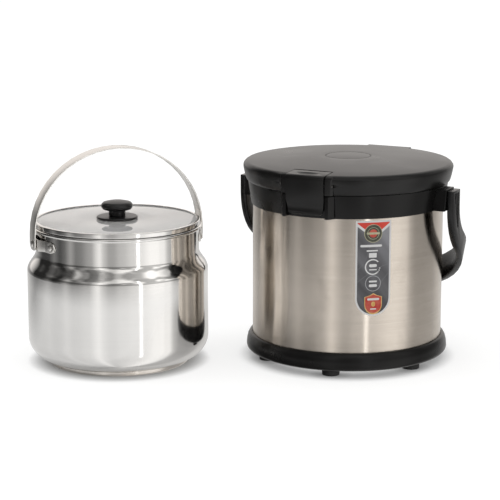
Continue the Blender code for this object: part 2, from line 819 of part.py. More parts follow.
def add_latch_house(model, cover):
    """A raised housing at the lid's front, cut out for the latch lever."""
    reach = LATCH_FRONT - CHEEK_STAND / 4
    root = LATCH_FRONT - LATCH_DEPTH - LATCH_REAR_GAP - POCKET_WALL
    high = LID_TOP + OVERRUN
    low = LID_BOTTOM + GAP
    behind = LID_RIM_RADIUS + GAP
    shelf = pocket_floor() - POCKET_WALL
    side = [
        (-reach - OVERRUN, low),
        (-behind, low),
        (-behind, shelf),
        (-root, shelf),
        (-root, high),
        (-reach - OVERRUN, high),
    ]
    half = CHEEK_INNER + CHEEK_WIDTH + CHEEK_SPREAD + OVERRUN
    house = model.tool("latch_house", plate_mesh("latch_house", side, -half, half, "YZ"), "container")
    plan = plate_mesh("house_plan", house_plan(reach, root - OVERRUN), low - OVERRUN, high + OVERRUN)
    combine(house, model.tool("house_plan", plan, "container"), "INTERSECT")
    edge = reach - LID_EDGE
    envelope = [(0, crown(0) - GAP)]
    envelope += [(edge * share, crown(edge * share) - GAP) for share in CROWN_SHARES]
    envelope += arc((edge, EDGE_CENTRE_HEIGHT - GAP), LID_EDGE, 90, 0)
    envelope += [(reach, low - OVERRUN), (0, low - OVERRUN)]
    solid = spun_mesh("house_envelope", envelope, TURN_STEPS, False)
    combine(house, model.tool("house_envelope", solid, "container"), "INTERSECT")
    combine(cover, house, "UNION")
    cut_latch_slot(model, cover, reach)


def cut_latch_slot(model, cover, reach):
    """The open slot for the lever's front, the pocket for its finger plate and the pin's bore."""
    high = LID_TOP + OVERRUN
    front = -reach - OVERRUN
    back = -(LID_RIM_RADIUS + SLOT_WALL)
    low = (-CHEEK_INNER, front, LID_BOTTOM - OVERRUN)
    slot = box_mesh("latch_slot", low, (CHEEK_INNER, back, high))
    combine(cover, model.tool("latch_slot", slot, "container"), "DIFFERENCE")
    back = -(LATCH_FRONT - LATCH_DEPTH - LATCH_REAR_GAP)
    low = (-CHEEK_INNER, front, pocket_floor())
    pocket = box_mesh("latch_pocket", low, (CHEEK_INNER, back, high))
    combine(cover, model.tool("latch_pocket", pocket, "container"), "DIFFERENCE")
    half = latch_pin_half() + OVERRUN
    bore = rod_mesh(
        "latch_bore",
        (-half, LATCH_PIN_Y, LATCH_PIN_Z),
        (half, LATCH_PIN_Y, LATCH_PIN_Z),
        LATCH_PIN_RADIUS + GAP,
    )
    combine(cover, model.tool("latch_bore", bore, "container"), "DIFFERENCE")


def latch_pin_half():
    """Half the latch pin's length, so that it ends flush outside the cheeks."""
    return CHEEK_INNER + CHEEK_WIDTH + CHEEK_SPREAD


def add_hinge_lug(model, cover):
    """The lug at the lid's back that turns between the collar's ears."""
    root = EDGE_CENTRE_RADIUS - LID_EDGE / 6
    top = EDGE_CENTRE_HEIGHT + LID_EDGE * LUG_TOP_SHARE
    bottom = HINGE_Z - KNUCKLE_RADIUS
    outline = [(root, bottom), (HINGE_Y, bottom)]
    outline += arc((HINGE_Y, HINGE_Z), KNUCKLE_RADIUS, -60, 0, ARC_STEPS - 1)
    taper = HINGE_Y + KNUCKLE_RADIUS * LUG_TAPER_SHARE
    outline += [(taper, HINGE_Z + KNUCKLE_RADIUS), (HINGE_Y, top), (root, top)]
    lug = plate_mesh("hinge_lug", outline, -LUG_HALF_WIDTH, LUG_HALF_WIDTH, "YZ")
    combine(cover, model.tool("hinge_lug", lug, "container"), "UNION")
    half = LUG_HALF_WIDTH + OVERRUN
    bore = rod_mesh(
        "lug_bore",
        (-half, HINGE_Y, HINGE_Z),
        (half, HINGE_Y, HINGE_Z),
        HINGE_PIN_RADIUS + GAP,
    )
    combine(cover, model.tool("lug_bore", bore, "container"), "DIFFERENCE")


def build_lid(model):
    """The lid: cover, inset disc, steel liner, foam and seal."""
    mesh = spun_mesh("lid_cover", lid_outline() + lid_inside(), TURN_STEPS, False)
    cover = model.piece("lid_cover", mesh, black_plastic, "lid_hinge")
    add_hinge_lug(model, cover)
    add_latch_house(model, cover)
    cut_disc_seat(model, cover)
    top = LID_TOP - DISC_SINK
    disc = rod_mesh("lid_disc", (0, 0, top - DISC_THICKNESS), (0, 0, top), DISC_RADIUS, steps=HIDDEN_STEPS)
    model.piece("lid_disc", disc, black_plastic, "lid_hinge")
    build_lid_liner(model)
    half = LUG_HALF_WIDTH + GAP + EAR_THICKNESS
    pin = rod_mesh("hinge_pin", (-half, HINGE_Y, HINGE_Z), (half, HINGE_Y, HINGE_Z), HINGE_PIN_RADIUS)
    model.piece("hinge_pin", pin, bright_steel, "container")


def build_lid_liner(model):
    """The lid's steel underside with its plug, the foam above it and the seal round it."""
    recess = SEAM + RECESS_HEIGHT
    plug = COLLAR_TOP - PLUG_DEPTH
    flange = LID_BOTTOM + LINER_LIFT
    rim = LID_RIM_RADIUS - GAP
    slope_foot = PLUG_RADIUS - PLUG_WIDTH
    liner = [
        (0, recess + SHELL_WALL),
        (RECESS_RADIUS + SHELL_WALL / 2, recess + SHELL_WALL),
        (slope_foot + SHELL_WALL / 2, plug + SHELL_WALL),
        (PLUG_RADIUS - SHELL_WALL, plug + SHELL_WALL),
        (PLUG_RADIUS - SHELL_WALL, flange + SHELL_WALL),
        (rim, flange + SHELL_WALL),
        (rim, flange),
        (PLUG_RADIUS, flange),
        (PLUG_RADIUS, plug),
        (slope_foot, plug),
        (RECESS_RADIUS, recess),
        (0, recess),
    ]
    mesh = spun_mesh("lid_liner", liner, HIDDEN_STEPS, False)
    model.piece("lid_liner", mesh, bright_steel, "lid_hinge")
    bottom = recess + SHELL_WALL + GAP
    middle = EDGE_CENTRE_RADIUS / 2
    inner_edge = EDGE_CENTRE_RADIUS - LID_WALL
    share = (FOAM_RADIUS - middle) / (inner_edge - middle)
    under_edge = crown(middle) + (crown(EDGE_CENTRE_RADIUS) - crown(middle)) * share
    foam = [
        (0, LID_TOP - LID_WALL - GAP),
        (middle, crown(middle) - LID_WALL - GAP),
        (FOAM_RADIUS, under_edge - LID_WALL - GAP),
        (FOAM_RADIUS, bottom),
        (0, bottom),
    ]
    mesh = spun_mesh("lid_foam", foam, HIDDEN_STEPS, False)
    model.piece("lid_foam", mesh, white_foam, "lid_hinge")
    top = flange - GAP
    inner = PLUG_RADIUS + GAP
    seal = [
        (inner + SEAL_WIDTH, top),
        (inner + SEAL_WIDTH, top - SEAL_LIP),
        (inner + SEAL_WIDTH / 2, top - SEAL_LIP * 2),
        (inner + SEAL_WIDTH, top - SEAL_HEIGHT + SEAL_LIP / 2),
        (inner + SEAL_WIDTH - SEAL_LIP, top - SEAL_HEIGHT),
        (inner, top - SEAL_HEIGHT),
        (inner, top),
    ]
    mesh = spun_mesh("lid_seal", seal, HIDDEN_STEPS, True)
    model.piece("lid_seal", mesh, grey_silicone, "lid_hinge")


def latch_foot():
    """Height of the lever's lower end."""
    return COLLAR_BOTTOM + LATCH_FOOT_LIFT


def latch_outer(height):
    """Distance of the lever's front face from the container's axis at a height."""
    span = EDGE_CENTRE_HEIGHT - latch_foot()
    share = (height - latch_foot()) / span
    foot = SHELL_RADIUS + LATCH_FOOT_STAND
    return foot + (LATCH_FRONT - foot) * share


def latch_inner(height):
    """Distance of the lever's inner face from the container's axis at a height."""
    return latch_outer(height) - LATCH_PLATE


def latch_scoop():
    """Side view of the concave lower part of the lever's front face, above its lip."""
    points = []
    low = latch_foot() + LATCH_LIP
    for i in range(ARC_STEPS + 2):
        share = 1 - i / (ARC_STEPS + 1)
        height = low + LATCH_SCOOP_HEIGHT * share
        points.append((LATCH_SCOOP_DEPTH * math.sin(math.pi * share) - latch_outer(height), height))
    return points


def latch_section():
    """Side view of the lever: finger plate, rounded front edge and drop plate."""
    rear = LATCH_FRONT - LATCH_DEPTH
    top_edge = crown(EDGE_CENTRE_RADIUS)
    bend = LATCH_FRONT - LATCH_ROUND
    foot = latch_foot()
    inner_round = LATCH_ROUND - LATCH_PLATE
    outline = [(-rear, crown(rear) - LATCH_PLATE), (-rear, crown(rear))]
    outline += arc((-bend, top_edge - LATCH_ROUND), LATCH_ROUND, 90, 180)
    outline += latch_scoop()
    outline += [(-latch_outer(foot), foot), (-latch_inner(foot), foot)]
    outline += arc((-bend, top_edge - LATCH_ROUND), inner_round, 180, 90, ARC_STEPS - 1)
    return outline


def latch_front():
    """Front view of the lever: straight above, drawn in to a rounded lower end."""
    foot = latch_foot() - OVERRUN
    shoulder = COLLAR_TOP - LATCH_ROUND
    end = latch_foot() + LATCH_ROUND
    top = LID_TOP + OVERRUN
    right = [(LATCH_HALF_WIDTH, top), (LATCH_HALF_WIDTH, shoulder)]
    right += arc((LATCH_FOOT_HALF - LATCH_ROUND / 2, end), LATCH_ROUND, 0, -80)
    left = [(-x, z) for x, z in reversed(right)]
    return right + left


def build_latch(model):
    """The rocking latch lever, its pin and its return spring."""
    half = LATCH_HALF_WIDTH + OVERRUN
    section = plate_mesh("latch_lever", latch_section(), -half, half, "YZ")
    lever = model.piece("latch_lever", section, black_plastic, "latch_axis")
    front = plate_mesh("latch_front", latch_front(), -LATCH_FRONT - LATCH_DEPTH, 0, "XZ")
    combine(lever, model.tool("latch_front", front, "container"), "INTERSECT")
    soften(lever, LATCH_PLATE / 4, 2)
    for side, word in ((1, "right"), (-1, "left")):
        outline = arc((LATCH_PIN_Y, LATCH_PIN_Z), LATCH_BARREL, 90, -90, 2 * ARC_STEPS)
        inner = -latch_inner(LATCH_PIN_Z) - LATCH_PLATE / 2
        outline += [(inner, LATCH_PIN_Z - LATCH_BARREL), (inner, LATCH_PIN_Z + LATCH_BARREL)]
        middle = side * LATCH_RIB_PLACE
        rib = plate_mesh(f"latch_rib_{word}", outline, middle - LATCH_RIB / 2, middle + LATCH_RIB / 2, "YZ")
        combine(lever, model.tool(f"latch_rib_{word}", rib, "container"), "UNION")
    add_hook(model, lever)
    half = LATCH_HALF_WIDTH
    start = (-half, LATCH_PIN_Y, LATCH_PIN_Z)
    bore = rod_mesh("lever_bore", start, (half, LATCH_PIN_Y, LATCH_PIN_Z), LATCH_PIN_RADIUS + GAP)
    combine(lever, model.tool("lever_bore", bore, "container"), "DIFFERENCE")
    half = latch_pin_half()
    start = (-half, LATCH_PIN_Y, LATCH_PIN_Z)
    pin = rod_mesh("latch_pin", start, (half, LATCH_PIN_Y, LATCH_PIN_Z), LATCH_PIN_RADIUS)
    model.piece("latch_pin", pin, bright_steel, "lid_hinge")
    build_spring(model)


def add_hook(model, lever):
    """The hook behind the lever's lower half and the finger dimple in its top."""
    top = catch_levels()[1] - GAP
    inner = latch_inner(top)
    low = (-HOOK_HALF_WIDTH, -inner - LATCH_PLATE / 2, top - HOOK_HEIGHT)
    hook = box_mesh("latch_hook", low, (HOOK_HALF_WIDTH, -inner + CATCH_HOLD, top))
    combine(lever, model.tool("latch_hook", hook, "container"), "UNION")
    middle = LATCH_FRONT - LATCH_DEPTH / 2
    bm = bmesh.new()
    scale = Matrix.Diagonal((DIMPLE_HALF_LENGTH, DIMPLE_HALF_WIDTH, DIMPLE_DEPTH * 2, 1))
    place = Matrix.Translation((0, -middle - DIMPLE_HALF_WIDTH / 4, crown(middle) + DIMPLE_DEPTH))
    bmesh.ops.create_uvsphere(
        bm,
        u_segments=SMALL_STEPS,
        v_segments=SMALL_STEPS // 2,
        radius=1,
        matrix=place @ scale,
    )
    dimple = mesh_from(bm, "latch_dimple")
    combine(lever, model.tool("latch_dimple", dimple, "container"), "DIFFERENCE")


def build_spring(model):
    """The torsion spring coiled round the latch pin."""
    points = []
    count = SPRING_TURNS * SPRING_TURN_POINTS
    start = -SPRING_PITCH * SPRING_TURNS / 2
    for i in range(count + 1):
        angle = -math.pi / 2 + math.tau * i / SPRING_TURN_POINTS
        x = start + SPRING_PITCH * i / SPRING_TURN_POINTS
        y = LATCH_PIN_Y + SPRING_RADIUS * math.cos(angle)
        z = LATCH_PIN_Z + SPRING_RADIUS * math.sin(angle)
        points.append((x, y, z))
    turns = [
        (Vector(points[i]) - Vector(points[j])).length
        for i in range(len(points))
        for j in range(i + SPRING_TURN_POINTS // 2, len(points))
    ]
    print("latch_spring least gap between turns", round(min(turns) - SPRING_WIRE, 5))
    first = points[0]
    last = points[-1]
    points.insert(0, (first[0] - SPRING_PITCH / 2, first[1] - SPRING_LEG / 2, first[2] - SPRING_LEG))
    points.append((last[0] + SPRING_PITCH / 2, last[1] + SPRING_LEG, last[2] - SPRING_LEG / 4))
    curve = bpy.data.curves.new("latch_spring", "CURVE")
    curve.dimensions = "3D"
    curve.bevel_depth = SPRING_WIRE / 2
    curve.bevel_resolution = 1
    curve.use_fill_caps = True
    spline = curve.splines.new("POLY")
    spline.points.add(len(points[1:]))
    for point, place in zip(spline.points, points):
        point.co = (*place, 1)
    mesh = applied(bpy.data.objects.new("latch_spring", curve), "latch_spring")
    model.piece("latch_spring", mesh, bright_steel, "lid_hinge")


def hoop_stations():
    """Places from one arm's top to the grip's middle, each with its centre, direction across and width."""
    bend = math.radians(BEND_ANGLE)
    foot = PIVOT_Z - ARM_DROP
    stations = [(Vector((HOOP_HALF, 0, ARM_TOP)), Vector((0, 1, 0)), ARM_WIDTH)]
    for i in range(BEND_STEPS + 1):
        angle = bend * i / BEND_STEPS
        wide = Vector((0, math.cos(angle), math.sin(angle)))
        centre = Vector((HOOP_HALF, BEND_RADIUS, foot)) - BEND_RADIUS * wide
        stations.append((centre, wide, ARM_WIDTH))
    start = stations[-1][0]
    along = Vector((0, math.sin(bend), -math.cos(bend)))
    across = Vector((1, 0, 0))
    for i in range(1, HOOP_STEPS + 1):
        angle = math.pi / 2 * i / HOOP_STEPS
        away = math.sin(angle) ** HOOP_POWER
        inward = 1 - abs(math.cos(angle)) ** HOOP_POWER
        centre = start + along * HOOP_REACH * away - across * HOOP_HALF * inward
        ease = min(1, angle / math.radians(GRIP_ANGLE))
        ease = ease * ease * (3 - 2 * ease)
        lean = bend + math.radians(GRIP_LEAN) * ease
        width = ARM_WIDTH + (GRIP_WIDTH - ARM_WIDTH) * ease
        stations.append((centre, Vector((0, math.cos(lean), math.sin(lean))), width))
    return stations


def strap_section(width):
    """The handle's section at a place: a flat strip with rounded corners."""
    half = width / 2 - STRAP_ROUND
    thick = STRAP_THICKNESS / 2 - STRAP_ROUND
    points = []
    for corner, centre in enumerate(((half, thick), (-half, thick), (-half, -thick), (half, -thick))):
        points += arc(centre, STRAP_ROUND, 90 * corner, 90 * corner + 90, STRAP_ROUND_STEPS)
    return points


def handle_mesh():
    """The hoop handle, lofted through sections that widen from the arms to the grip."""
    right = hoop_stations()
    mirror = Matrix.Diagonal((-1, 1, 1))
    stations = right + [(mirror @ centre, wide, width) for centre, wide, width in right[-2::-1]]
    centres = [centre for centre, wide, width in stations]
    before = centres[:1] + centres
    after = centres[1:] + centres[-1:]
    bm = bmesh.new()
    rings = []
    for (centre, wide, width), previous, following in zip(stations, before, after):
        outward = (following - previous).cross(wide).normalized()
        section = strap_section(width)
        rings.append([bm.verts.new(centre + wide * u + outward * v) for u, v in section])
    for ring, following in zip(rings, rings[1:]):
        for i, vertex in enumerate(ring):
            bm.faces.new((ring[i - 1], vertex, following[i], following[i - 1]))
    bm.faces.new(rings[0])
    bm.faces.new(rings[-1])
    return mesh_from(bm, "carry_handle")


def build_handle(model):
    """The hoop handle with grooved arms and a blind bore for each pin."""
    mesh = handle_mesh()
    handle = model.piece("carry_handle", mesh, black_plastic, "handle_axis")
    for side, word in ((1, "right"), (-1, "left")):
        bore = rod_mesh(
            f"arm_bore_{word}",
            (side * (ARM_INNER - OVERRUN), 0, PIVOT_Z),
            (side * (ARM_INNER + HANDLE_PIN_REACH), 0, PIVOT_Z),
            HANDLE_PIN_RADIUS + GAP,
        )
        combine(handle, model.tool(f"arm_bore_{word}", bore, "container"), "DIFFERENCE")
        for i in range(GROOVE_COUNT):
            cut_groove(model, handle, side, word, i)
        pin = rod_mesh(
            f"handle_pin_{word}",
            (side * (BOSS_FACE - HANDLE_PIN_ROOT), 0, PIVOT_Z),
            (side * (ARM_INNER + HANDLE_PIN_REACH - GAP), 0, PIVOT_Z),
            HANDLE_PIN_RADIUS,
        )
        model.piece(f"handle_pin_{word}", pin, bright_steel, "container")


def cut_groove(model, handle, side, word, index):
    """One of the tapering grooves down the outside of an arm."""
    middle = GROOVE_PITCH * (index - (GROOVE_COUNT - 1) / 2)
    top = ARM_TOP - GROOVE_TOP_DROP
    tip = middle * GROOVE_TIP / GROOVE_WIDTH + GROOVE_LEAN
    outline = [
        (middle - GROOVE_WIDTH / 2, top),
        (tip - GROOVE_TIP / 2, top - GROOVE_LENGTH),
        (tip + GROOVE_TIP / 2, top - GROOVE_LENGTH),
        (middle + GROOVE_WIDTH / 2, top),
    ]
    low, high = sorted((side * (ARM_OUTER - GROOVE_DEPTH), side * (ARM_OUTER + OVERRUN)))
    groove = plate_mesh(f"groove_{word}_{index + 1}", outline, low, high, "YZ")
    combine(handle, model.tool(f"groove_{word}_{index + 1}", groove, "container"), "DIFFERENCE")


def pot_wall(inset, steps):
    """The pot's side from its bottom flat up to its neck, inset by a wall."""
    corner = POT_CORNER - inset
    radius = POT_RADIUS - inset
    centre = (radius - corner, POT_FLOOR + inset + corner)
    points = arc(centre, corner, 270, 360, steps)
    drop = POT_RADIUS - POT_NECK_RADIUS
    for i in range(steps + 1):
        share = i / steps
        ease = (1 - math.cos(math.pi * share)) / 2
        height = POT_SHOULDER_FOOT + (POT_SHOULDER_TOP - POT_SHOULDER_FOOT) * share
        points.append((radius - drop * ease, height))
    return points


def build_pot(model):
    """The pot's turned body and its capsule base."""
    inner_neck = POT_NECK_RADIUS - POT_WALL
    bead_foot = POT_RIM - POT_BEAD_HEIGHT
    profile = [(0, POT_FLOOR + POT_WALL)]
    profile += pot_wall(POT_WALL, ARC_STEPS - 1)
    profile += [
        (inner_neck, POT_RIM),
        (POT_NECK_RADIUS + POT_BEAD / 2, POT_RIM),
        (POT_NECK_RADIUS + POT_BEAD, POT_RIM - POT_BEAD_HEIGHT / 3),
        (POT_NECK_RADIUS + POT_BEAD, bead_foot + POT_BEAD_HEIGHT / 3),
        (POT_NECK_RADIUS + POT_BEAD / 2, bead_foot),
        (POT_NECK_RADIUS, bead_foot),
    ]
    profile += reversed(pot_wall(0, ARC_STEPS + 1))
    profile += [(0, POT_FLOOR)]
    mesh = spun_mesh("pot_body", profile, TURN_STEPS, False)
    body = model.piece("pot_body", mesh, bright_steel, "pot")
    edge = BASE_DISC_EDGE
    base = [
        (0, BASE_DISC_HEIGHT),
        (BASE_DISC_RADIUS - edge / 2, BASE_DISC_HEIGHT),
        (BASE_DISC_RADIUS, BASE_DISC_HEIGHT - edge / 2),
        (BASE_DISC_RADIUS, edge),
        (BASE_DISC_RADIUS - edge, 0),
        (0, 0),
    ]
    mesh = spun_mesh("pot_base_disc", base, TURN_STEPS, False)
    model.piece("pot_base_disc", mesh, brushed_steel, "pot")
    for side, word in ((1, "right"), (-1, "left")):
        build_bracket(model, body, side, word)


def strap_outline(side):
    """Plan of a bail bracket: a strip bent to the pot's neck with a hump for the bail's pivot."""
    inner = POT_NECK_RADIUS + GAP
    outer = inner + STRAP_PLATE
    hump_outer = BAIL_INNER - BAIL_PLAY
    hump_inner = hump_outer - STRAP_PLATE
    foot = STRAP_HUMP_HALF + STRAP_HUMP_SLOPE
    outside = []
    inside = []
    for share in STRAP_END_SHARES:
        y = STRAP_HALF_LENGTH * share
        outside.append((math.sqrt(outer**2 - y**2), y))
        inside.append((math.sqrt(inner**2 - y**2) + GAP / 2, y))
    outside += [(math.sqrt(outer**2 - foot**2), foot), (hump_outer, STRAP_HUMP_HALF)]
    inside += [(math.sqrt(inner**2 - foot**2) + GAP / 2, foot - STRAP_PLATE / 2)]
    inside += [(hump_inner, STRAP_HUMP_HALF - STRAP_PLATE / 2)]
    outside += [(x, -y) for x, y in reversed(outside)]
    inside += [(x, -y) for x, y in reversed(inside)]
    outline = [(side * x, y) for x, y in outside + inside[::-1]]
    return outline


def build_bracket(model, body, side, word):
    """A bail bracket with its two rivets and the pivot rivet."""
    half = STRAP_HEIGHT / 2
    low = BAIL_PIVOT_HEIGHT - half
    high = BAIL_PIVOT_HEIGHT + half
    mesh = plate_mesh(f"bail_bracket_{word}", strap_outline(side), low, high)
    bracket = model.piece(f"bail_bracket_{word}", mesh, bright_steel, "pot")
    ends = []
    ends += arc((STRAP_HALF_LENGTH - half, BAIL_PIVOT_HEIGHT), half - GAP, -90, 90, ARC_STEPS)
    ends += arc((-STRAP_HALF_LENGTH + half, BAIL_PIVOT_HEIGHT), half - GAP, 90, 270, ARC_STEPS)
    near = side * POT_NECK_RADIUS / 2
    far = side * (BAIL_HALF + OVERRUN)
    shape = plate_mesh(f"bracket_ends_{word}", ends, min(near, far), max(near, far), "YZ")
    combine(bracket, model.tool(f"bracket_ends_{word}", shape, "pot"), "INTERSECT")
    for end, letter in ((1, "a"), (-1, "b")):
        angle = math.asin(RIVET_PLACE / POT_NECK_RADIUS) * end
        direction = Vector((side * math.cos(angle), math.sin(angle), 0))
        add_rivet(model, body, bracket, direction, f"{word}_{letter}")
    add_pivot(model, bracket, side, word)


def add_rivet(model, body, bracket, direction, word):
    """A rivet through the pot's neck and the bracket, with the holes it needs."""
    level = Vector((0, 0, BAIL_PIVOT_HEIGHT))
    inside = POT_NECK_RADIUS - POT_WALL - GAP * 2
    outside = POT_NECK_RADIUS + GAP + STRAP_PLATE + GAP * 2
    start = direction * (inside - OVERRUN) + level
    end = direction * (outside + OVERRUN) + level
    hole = rod_mesh(f"rivet_hole_{word}", start, end, RIVET_RADIUS + GAP, steps=SMALL_STEPS // 2)
    tool = model.tool(f"rivet_hole_{word}", hole, "pot")
    combine(body, tool, "DIFFERENCE")
    combine(bracket, tool, "DIFFERENCE")
    profile = [
        (0, RIVET_HEAD_HEIGHT),
        (RIVET_HEAD * 2 / 3, RIVET_HEAD_HEIGHT * 3 / 4),
        (RIVET_HEAD, 0),
        (RIVET_RADIUS, 0),
        (RIVET_RADIUS, inside - outside),
        (RIVET_HEAD, inside - outside),
        (RIVET_HEAD, inside - outside - RIVET_HEAD_HEIGHT / 2),
        (0, inside - outside - RIVET_HEAD_HEIGHT / 2),
    ]
    mesh = spun_mesh(f"bracket_rivet_{word}", profile, SMALL_STEPS // 2, False)
    turn = direction.to_track_quat("Z", "Y").to_matrix().to_4x4()
    mesh.transform(Matrix.Translation(direction * outside + level) @ turn)
    model.piece(f"bracket_rivet_{word}", mesh, bright_steel, "pot")


def add_pivot(model, bracket, side, word):
    """The rivet on which the bail turns."""
    level = Vector((0, 0, BAIL_PIVOT_HEIGHT))
    direction = Vector((side, 0, 0))
    hump_inner = BAIL_INNER - BAIL_PLAY - STRAP_PLATE
    start = direction * (hump_inner - OVERRUN / 2) + level
    end = direction * (BAIL_INNER + OVERRUN / 2) + level
    hole = rod_mesh(f"pivot_hole_{word}", start, end, PIVOT_RADIUS + GAP)
    combine(bracket, model.tool(f"pivot_hole_{word}", hole, "pot"), "DIFFERENCE")
    outer = BAIL_HALF + GAP
    inner = hump_inner - GAP
    profile = [
        (0, PIVOT_HEAD_HEIGHT),
        (PIVOT_HEAD * 2 / 3, PIVOT_HEAD_HEIGHT * 3 / 4),
        (PIVOT_HEAD, 0),
        (PIVOT_RADIUS, 0),
        (PIVOT_RADIUS, inner - outer),
        (PIVOT_HEAD, inner - outer),
        (PIVOT_HEAD, inner - outer - PIVOT_HEAD_HEIGHT / 2),
        (0, inner - outer - PIVOT_HEAD_HEIGHT / 2),
    ]
    mesh = spun_mesh(f"bail_pivot_{word}", profile, SMALL_STEPS, False)
    turn = direction.to_track_quat("Z", "Y").to_matrix().to_4x4()
    mesh.transform(Matrix.Translation(direction * outer + level) @ turn)
    model.piece(f"bail_pivot_{word}", mesh, bright_steel, "pot")


def bail_arch(inset):
    """Points of the bail's arch from one leg to the other, inset by part of its thickness."""
    spring = BAIL_PIVOT_HEIGHT + BAIL_LEG
    rise = (BAIL_RISE - inset) / (BAIL_HALF - inset)
    return [(x, spring + z * rise) for x, z in arc((0, 0), BAIL_HALF - inset, 0, 180, BAIL_STEPS)]


def build_bail(model):
    """The pot's bail: a flat steel strip bent to a slightly flattened arch on two short legs."""
    foot = BAIL_PIVOT_HEIGHT - BAIL_TIP
    outline = [(BAIL_HALF, foot)]
    outline += bail_arch(0)
    outline += [(-BAIL_HALF, foot), (-BAIL_INNER, foot)]
    outline += bail_arch(BAIL_THICKNESS)[::-1]
    outline += [(BAIL_INNER, foot)]
    mesh = plate_mesh("bail", outline, -BAIL_WIDTH / 2, BAIL_WIDTH / 2, "XZ")
    bm = bmesh.new()
    bm.from_mesh(mesh)
    level = foot + WELD
    corners = [
        edge
        for edge in bm.edges
        if all(v.co.z < level for v in edge.verts) and abs(edge.verts[0].co.y - edge.verts[1].co.y) < WELD
    ]
    bmesh.ops.bevel(bm, geom=corners, offset=BAIL_CORNER, segments=ARC_STEPS, profile=0.5, affect="EDGES")
    bail = model.piece("bail", mesh_from(bm, "bail"), bright_steel, "bail_axis")
    for side, word in ((1, "right"), (-1, "left")):
        start = (side * (BAIL_INNER - OVERRUN / 2), 0, BAIL_PIVOT_HEIGHT)
        end = (side * (BAIL_HALF + OVERRUN / 2), 0, BAIL_PIVOT_HEIGHT)
        hole = rod_mesh(f"bail_hole_{word}", start, end, PIVOT_RADIUS + GAP)
        combine(bail, model.tool(f"bail_hole_{word}", hole, "pot"), "DIFFERENCE")


def build_glass_lid(model):
    """The pot's lid: glass disc, rolled steel band, flange, knob and the screw through them."""
    glass_radius = BAND_RADIUS - BAND_SHEET - GAP
    screw_hole = SCREW_RADIUS + GAP
    middle = glass_radius * GLASS_MIDDLE_SHARE
    fall = GLASS_CROWN * GLASS_MIDDLE_SHARE**2
    glass = [
        (screw_hole, GLASS_TOP),
        (middle, GLASS_TOP - fall),
        (glass_radius, GLASS_TOP - GLASS_CROWN),
        (glass_radius, GLASS_EDGE_BOTTOM),
        (middle, GLASS_EDGE_BOTTOM + GLASS_CROWN - fall),
        (screw_hole, GLASS_EDGE_BOTTOM + GLASS_CROWN),
    ]
    mesh = spun_mesh("lid_glass", glass, TURN_STEPS, True)
    model.piece("lid_glass", mesh, clear_glass, "glass_lid")
    step_outer = POT_NECK_RADIUS - POT_WALL - BAND_CLEARANCE
    step_inner = step_outer - BAND_STEP_WIDTH
    lip = BAND_RADIUS - BAND_GRIP
    glass_edge_top = GLASS_TOP - GLASS_CROWN + GAP
    wall = BAND_RADIUS - BAND_SHEET
    band = [
        (lip, glass_edge_top + BAND_SHEET),
        (wall, glass_edge_top + BAND_SHEET),
        (BAND_RADIUS, glass_edge_top),
        (BAND_RADIUS, BAND_BOTTOM + BAND_SHEET / 2),
        (wall, BAND_BOTTOM),
        (step_outer, BAND_BOTTOM),
        (step_outer, BAND_BOTTOM - BAND_STEP_DEPTH),
        (step_inner, BAND_BOTTOM - BAND_STEP_DEPTH),
        (step_inner, BAND_BOTTOM + BAND_SHEET),
        (wall, BAND_BOTTOM + BAND_SHEET),
        (wall, glass_edge_top),
        (lip, glass_edge_top),
    ]
    mesh = spun_mesh("glass_rim_band", band, TURN_STEPS, True)
    model.piece("glass_rim_band", mesh, bright_steel, "glass_lid")
    build_knob(model)


def build_knob(model):
    """The turned knob, the flange under it and its screw."""
    flange_bottom = GLASS_TOP + GAP
    flange_top = flange_bottom + FLANGE_HEIGHT
    edge = FLANGE_HEIGHT / 3
    flange = [
        (SCREW_RADIUS + GAP, flange_top),
        (FLANGE_RADIUS - edge, flange_top),
        (FLANGE_RADIUS, flange_top - edge),
        (FLANGE_RADIUS, flange_bottom + edge),
        (FLANGE_RADIUS - edge, flange_bottom),
        (SCREW_RADIUS + GAP, flange_bottom),
    ]
    mesh = spun_mesh("knob_flange", flange, HIDDEN_STEPS, True)
    model.piece("knob_flange", mesh, black_plastic, "glass_lid")
    bottom = flange_top + GAP
    head = bottom + KNOB_NECK_HEIGHT
    top = head + KNOB_HEIGHT
    round_radius = (KNOB_HEIGHT - KNOB_CROWN) / 2
    centre = (KNOB_RADIUS - round_radius, head + round_radius)
    bore = bottom + SCREW_REACH
    knob = [(0, top), (KNOB_RADIUS / 2, top - KNOB_CROWN / 3)]
    knob += arc(centre, round_radius, 90, -90, 2 * ARC_STEPS - 2)
    knob += [
        (KNOB_NECK_RADIUS, head),
        (KNOB_NECK_RADIUS, bottom),
        (SCREW_RADIUS + GAP, bottom),
        (SCREW_RADIUS + GAP, bore),
        (0, bore),
    ]
    mesh = spun_mesh("lid_knob", knob, HIDDEN_STEPS, False)
    model.piece("lid_knob", mesh, black_plastic, "glass_lid")
    under = GLASS_EDGE_BOTTOM + GLASS_CROWN - GAP
    screw = [
        (0, bore - GAP),
        (SCREW_RADIUS, bore - GAP),
        (SCREW_RADIUS, under),
        (SCREW_HEAD, under),
        (SCREW_HEAD, under - SCREW_HEAD_HEIGHT / 2),
        (SCREW_HEAD / 2, under - SCREW_HEAD_HEIGHT),
        (0, under - SCREW_HEAD_HEIGHT),
    ]
    mesh = spun_mesh("knob_screw", screw, SMALL_STEPS, False)
    model.piece("knob_screw", mesh, bright_steel, "glass_lid")


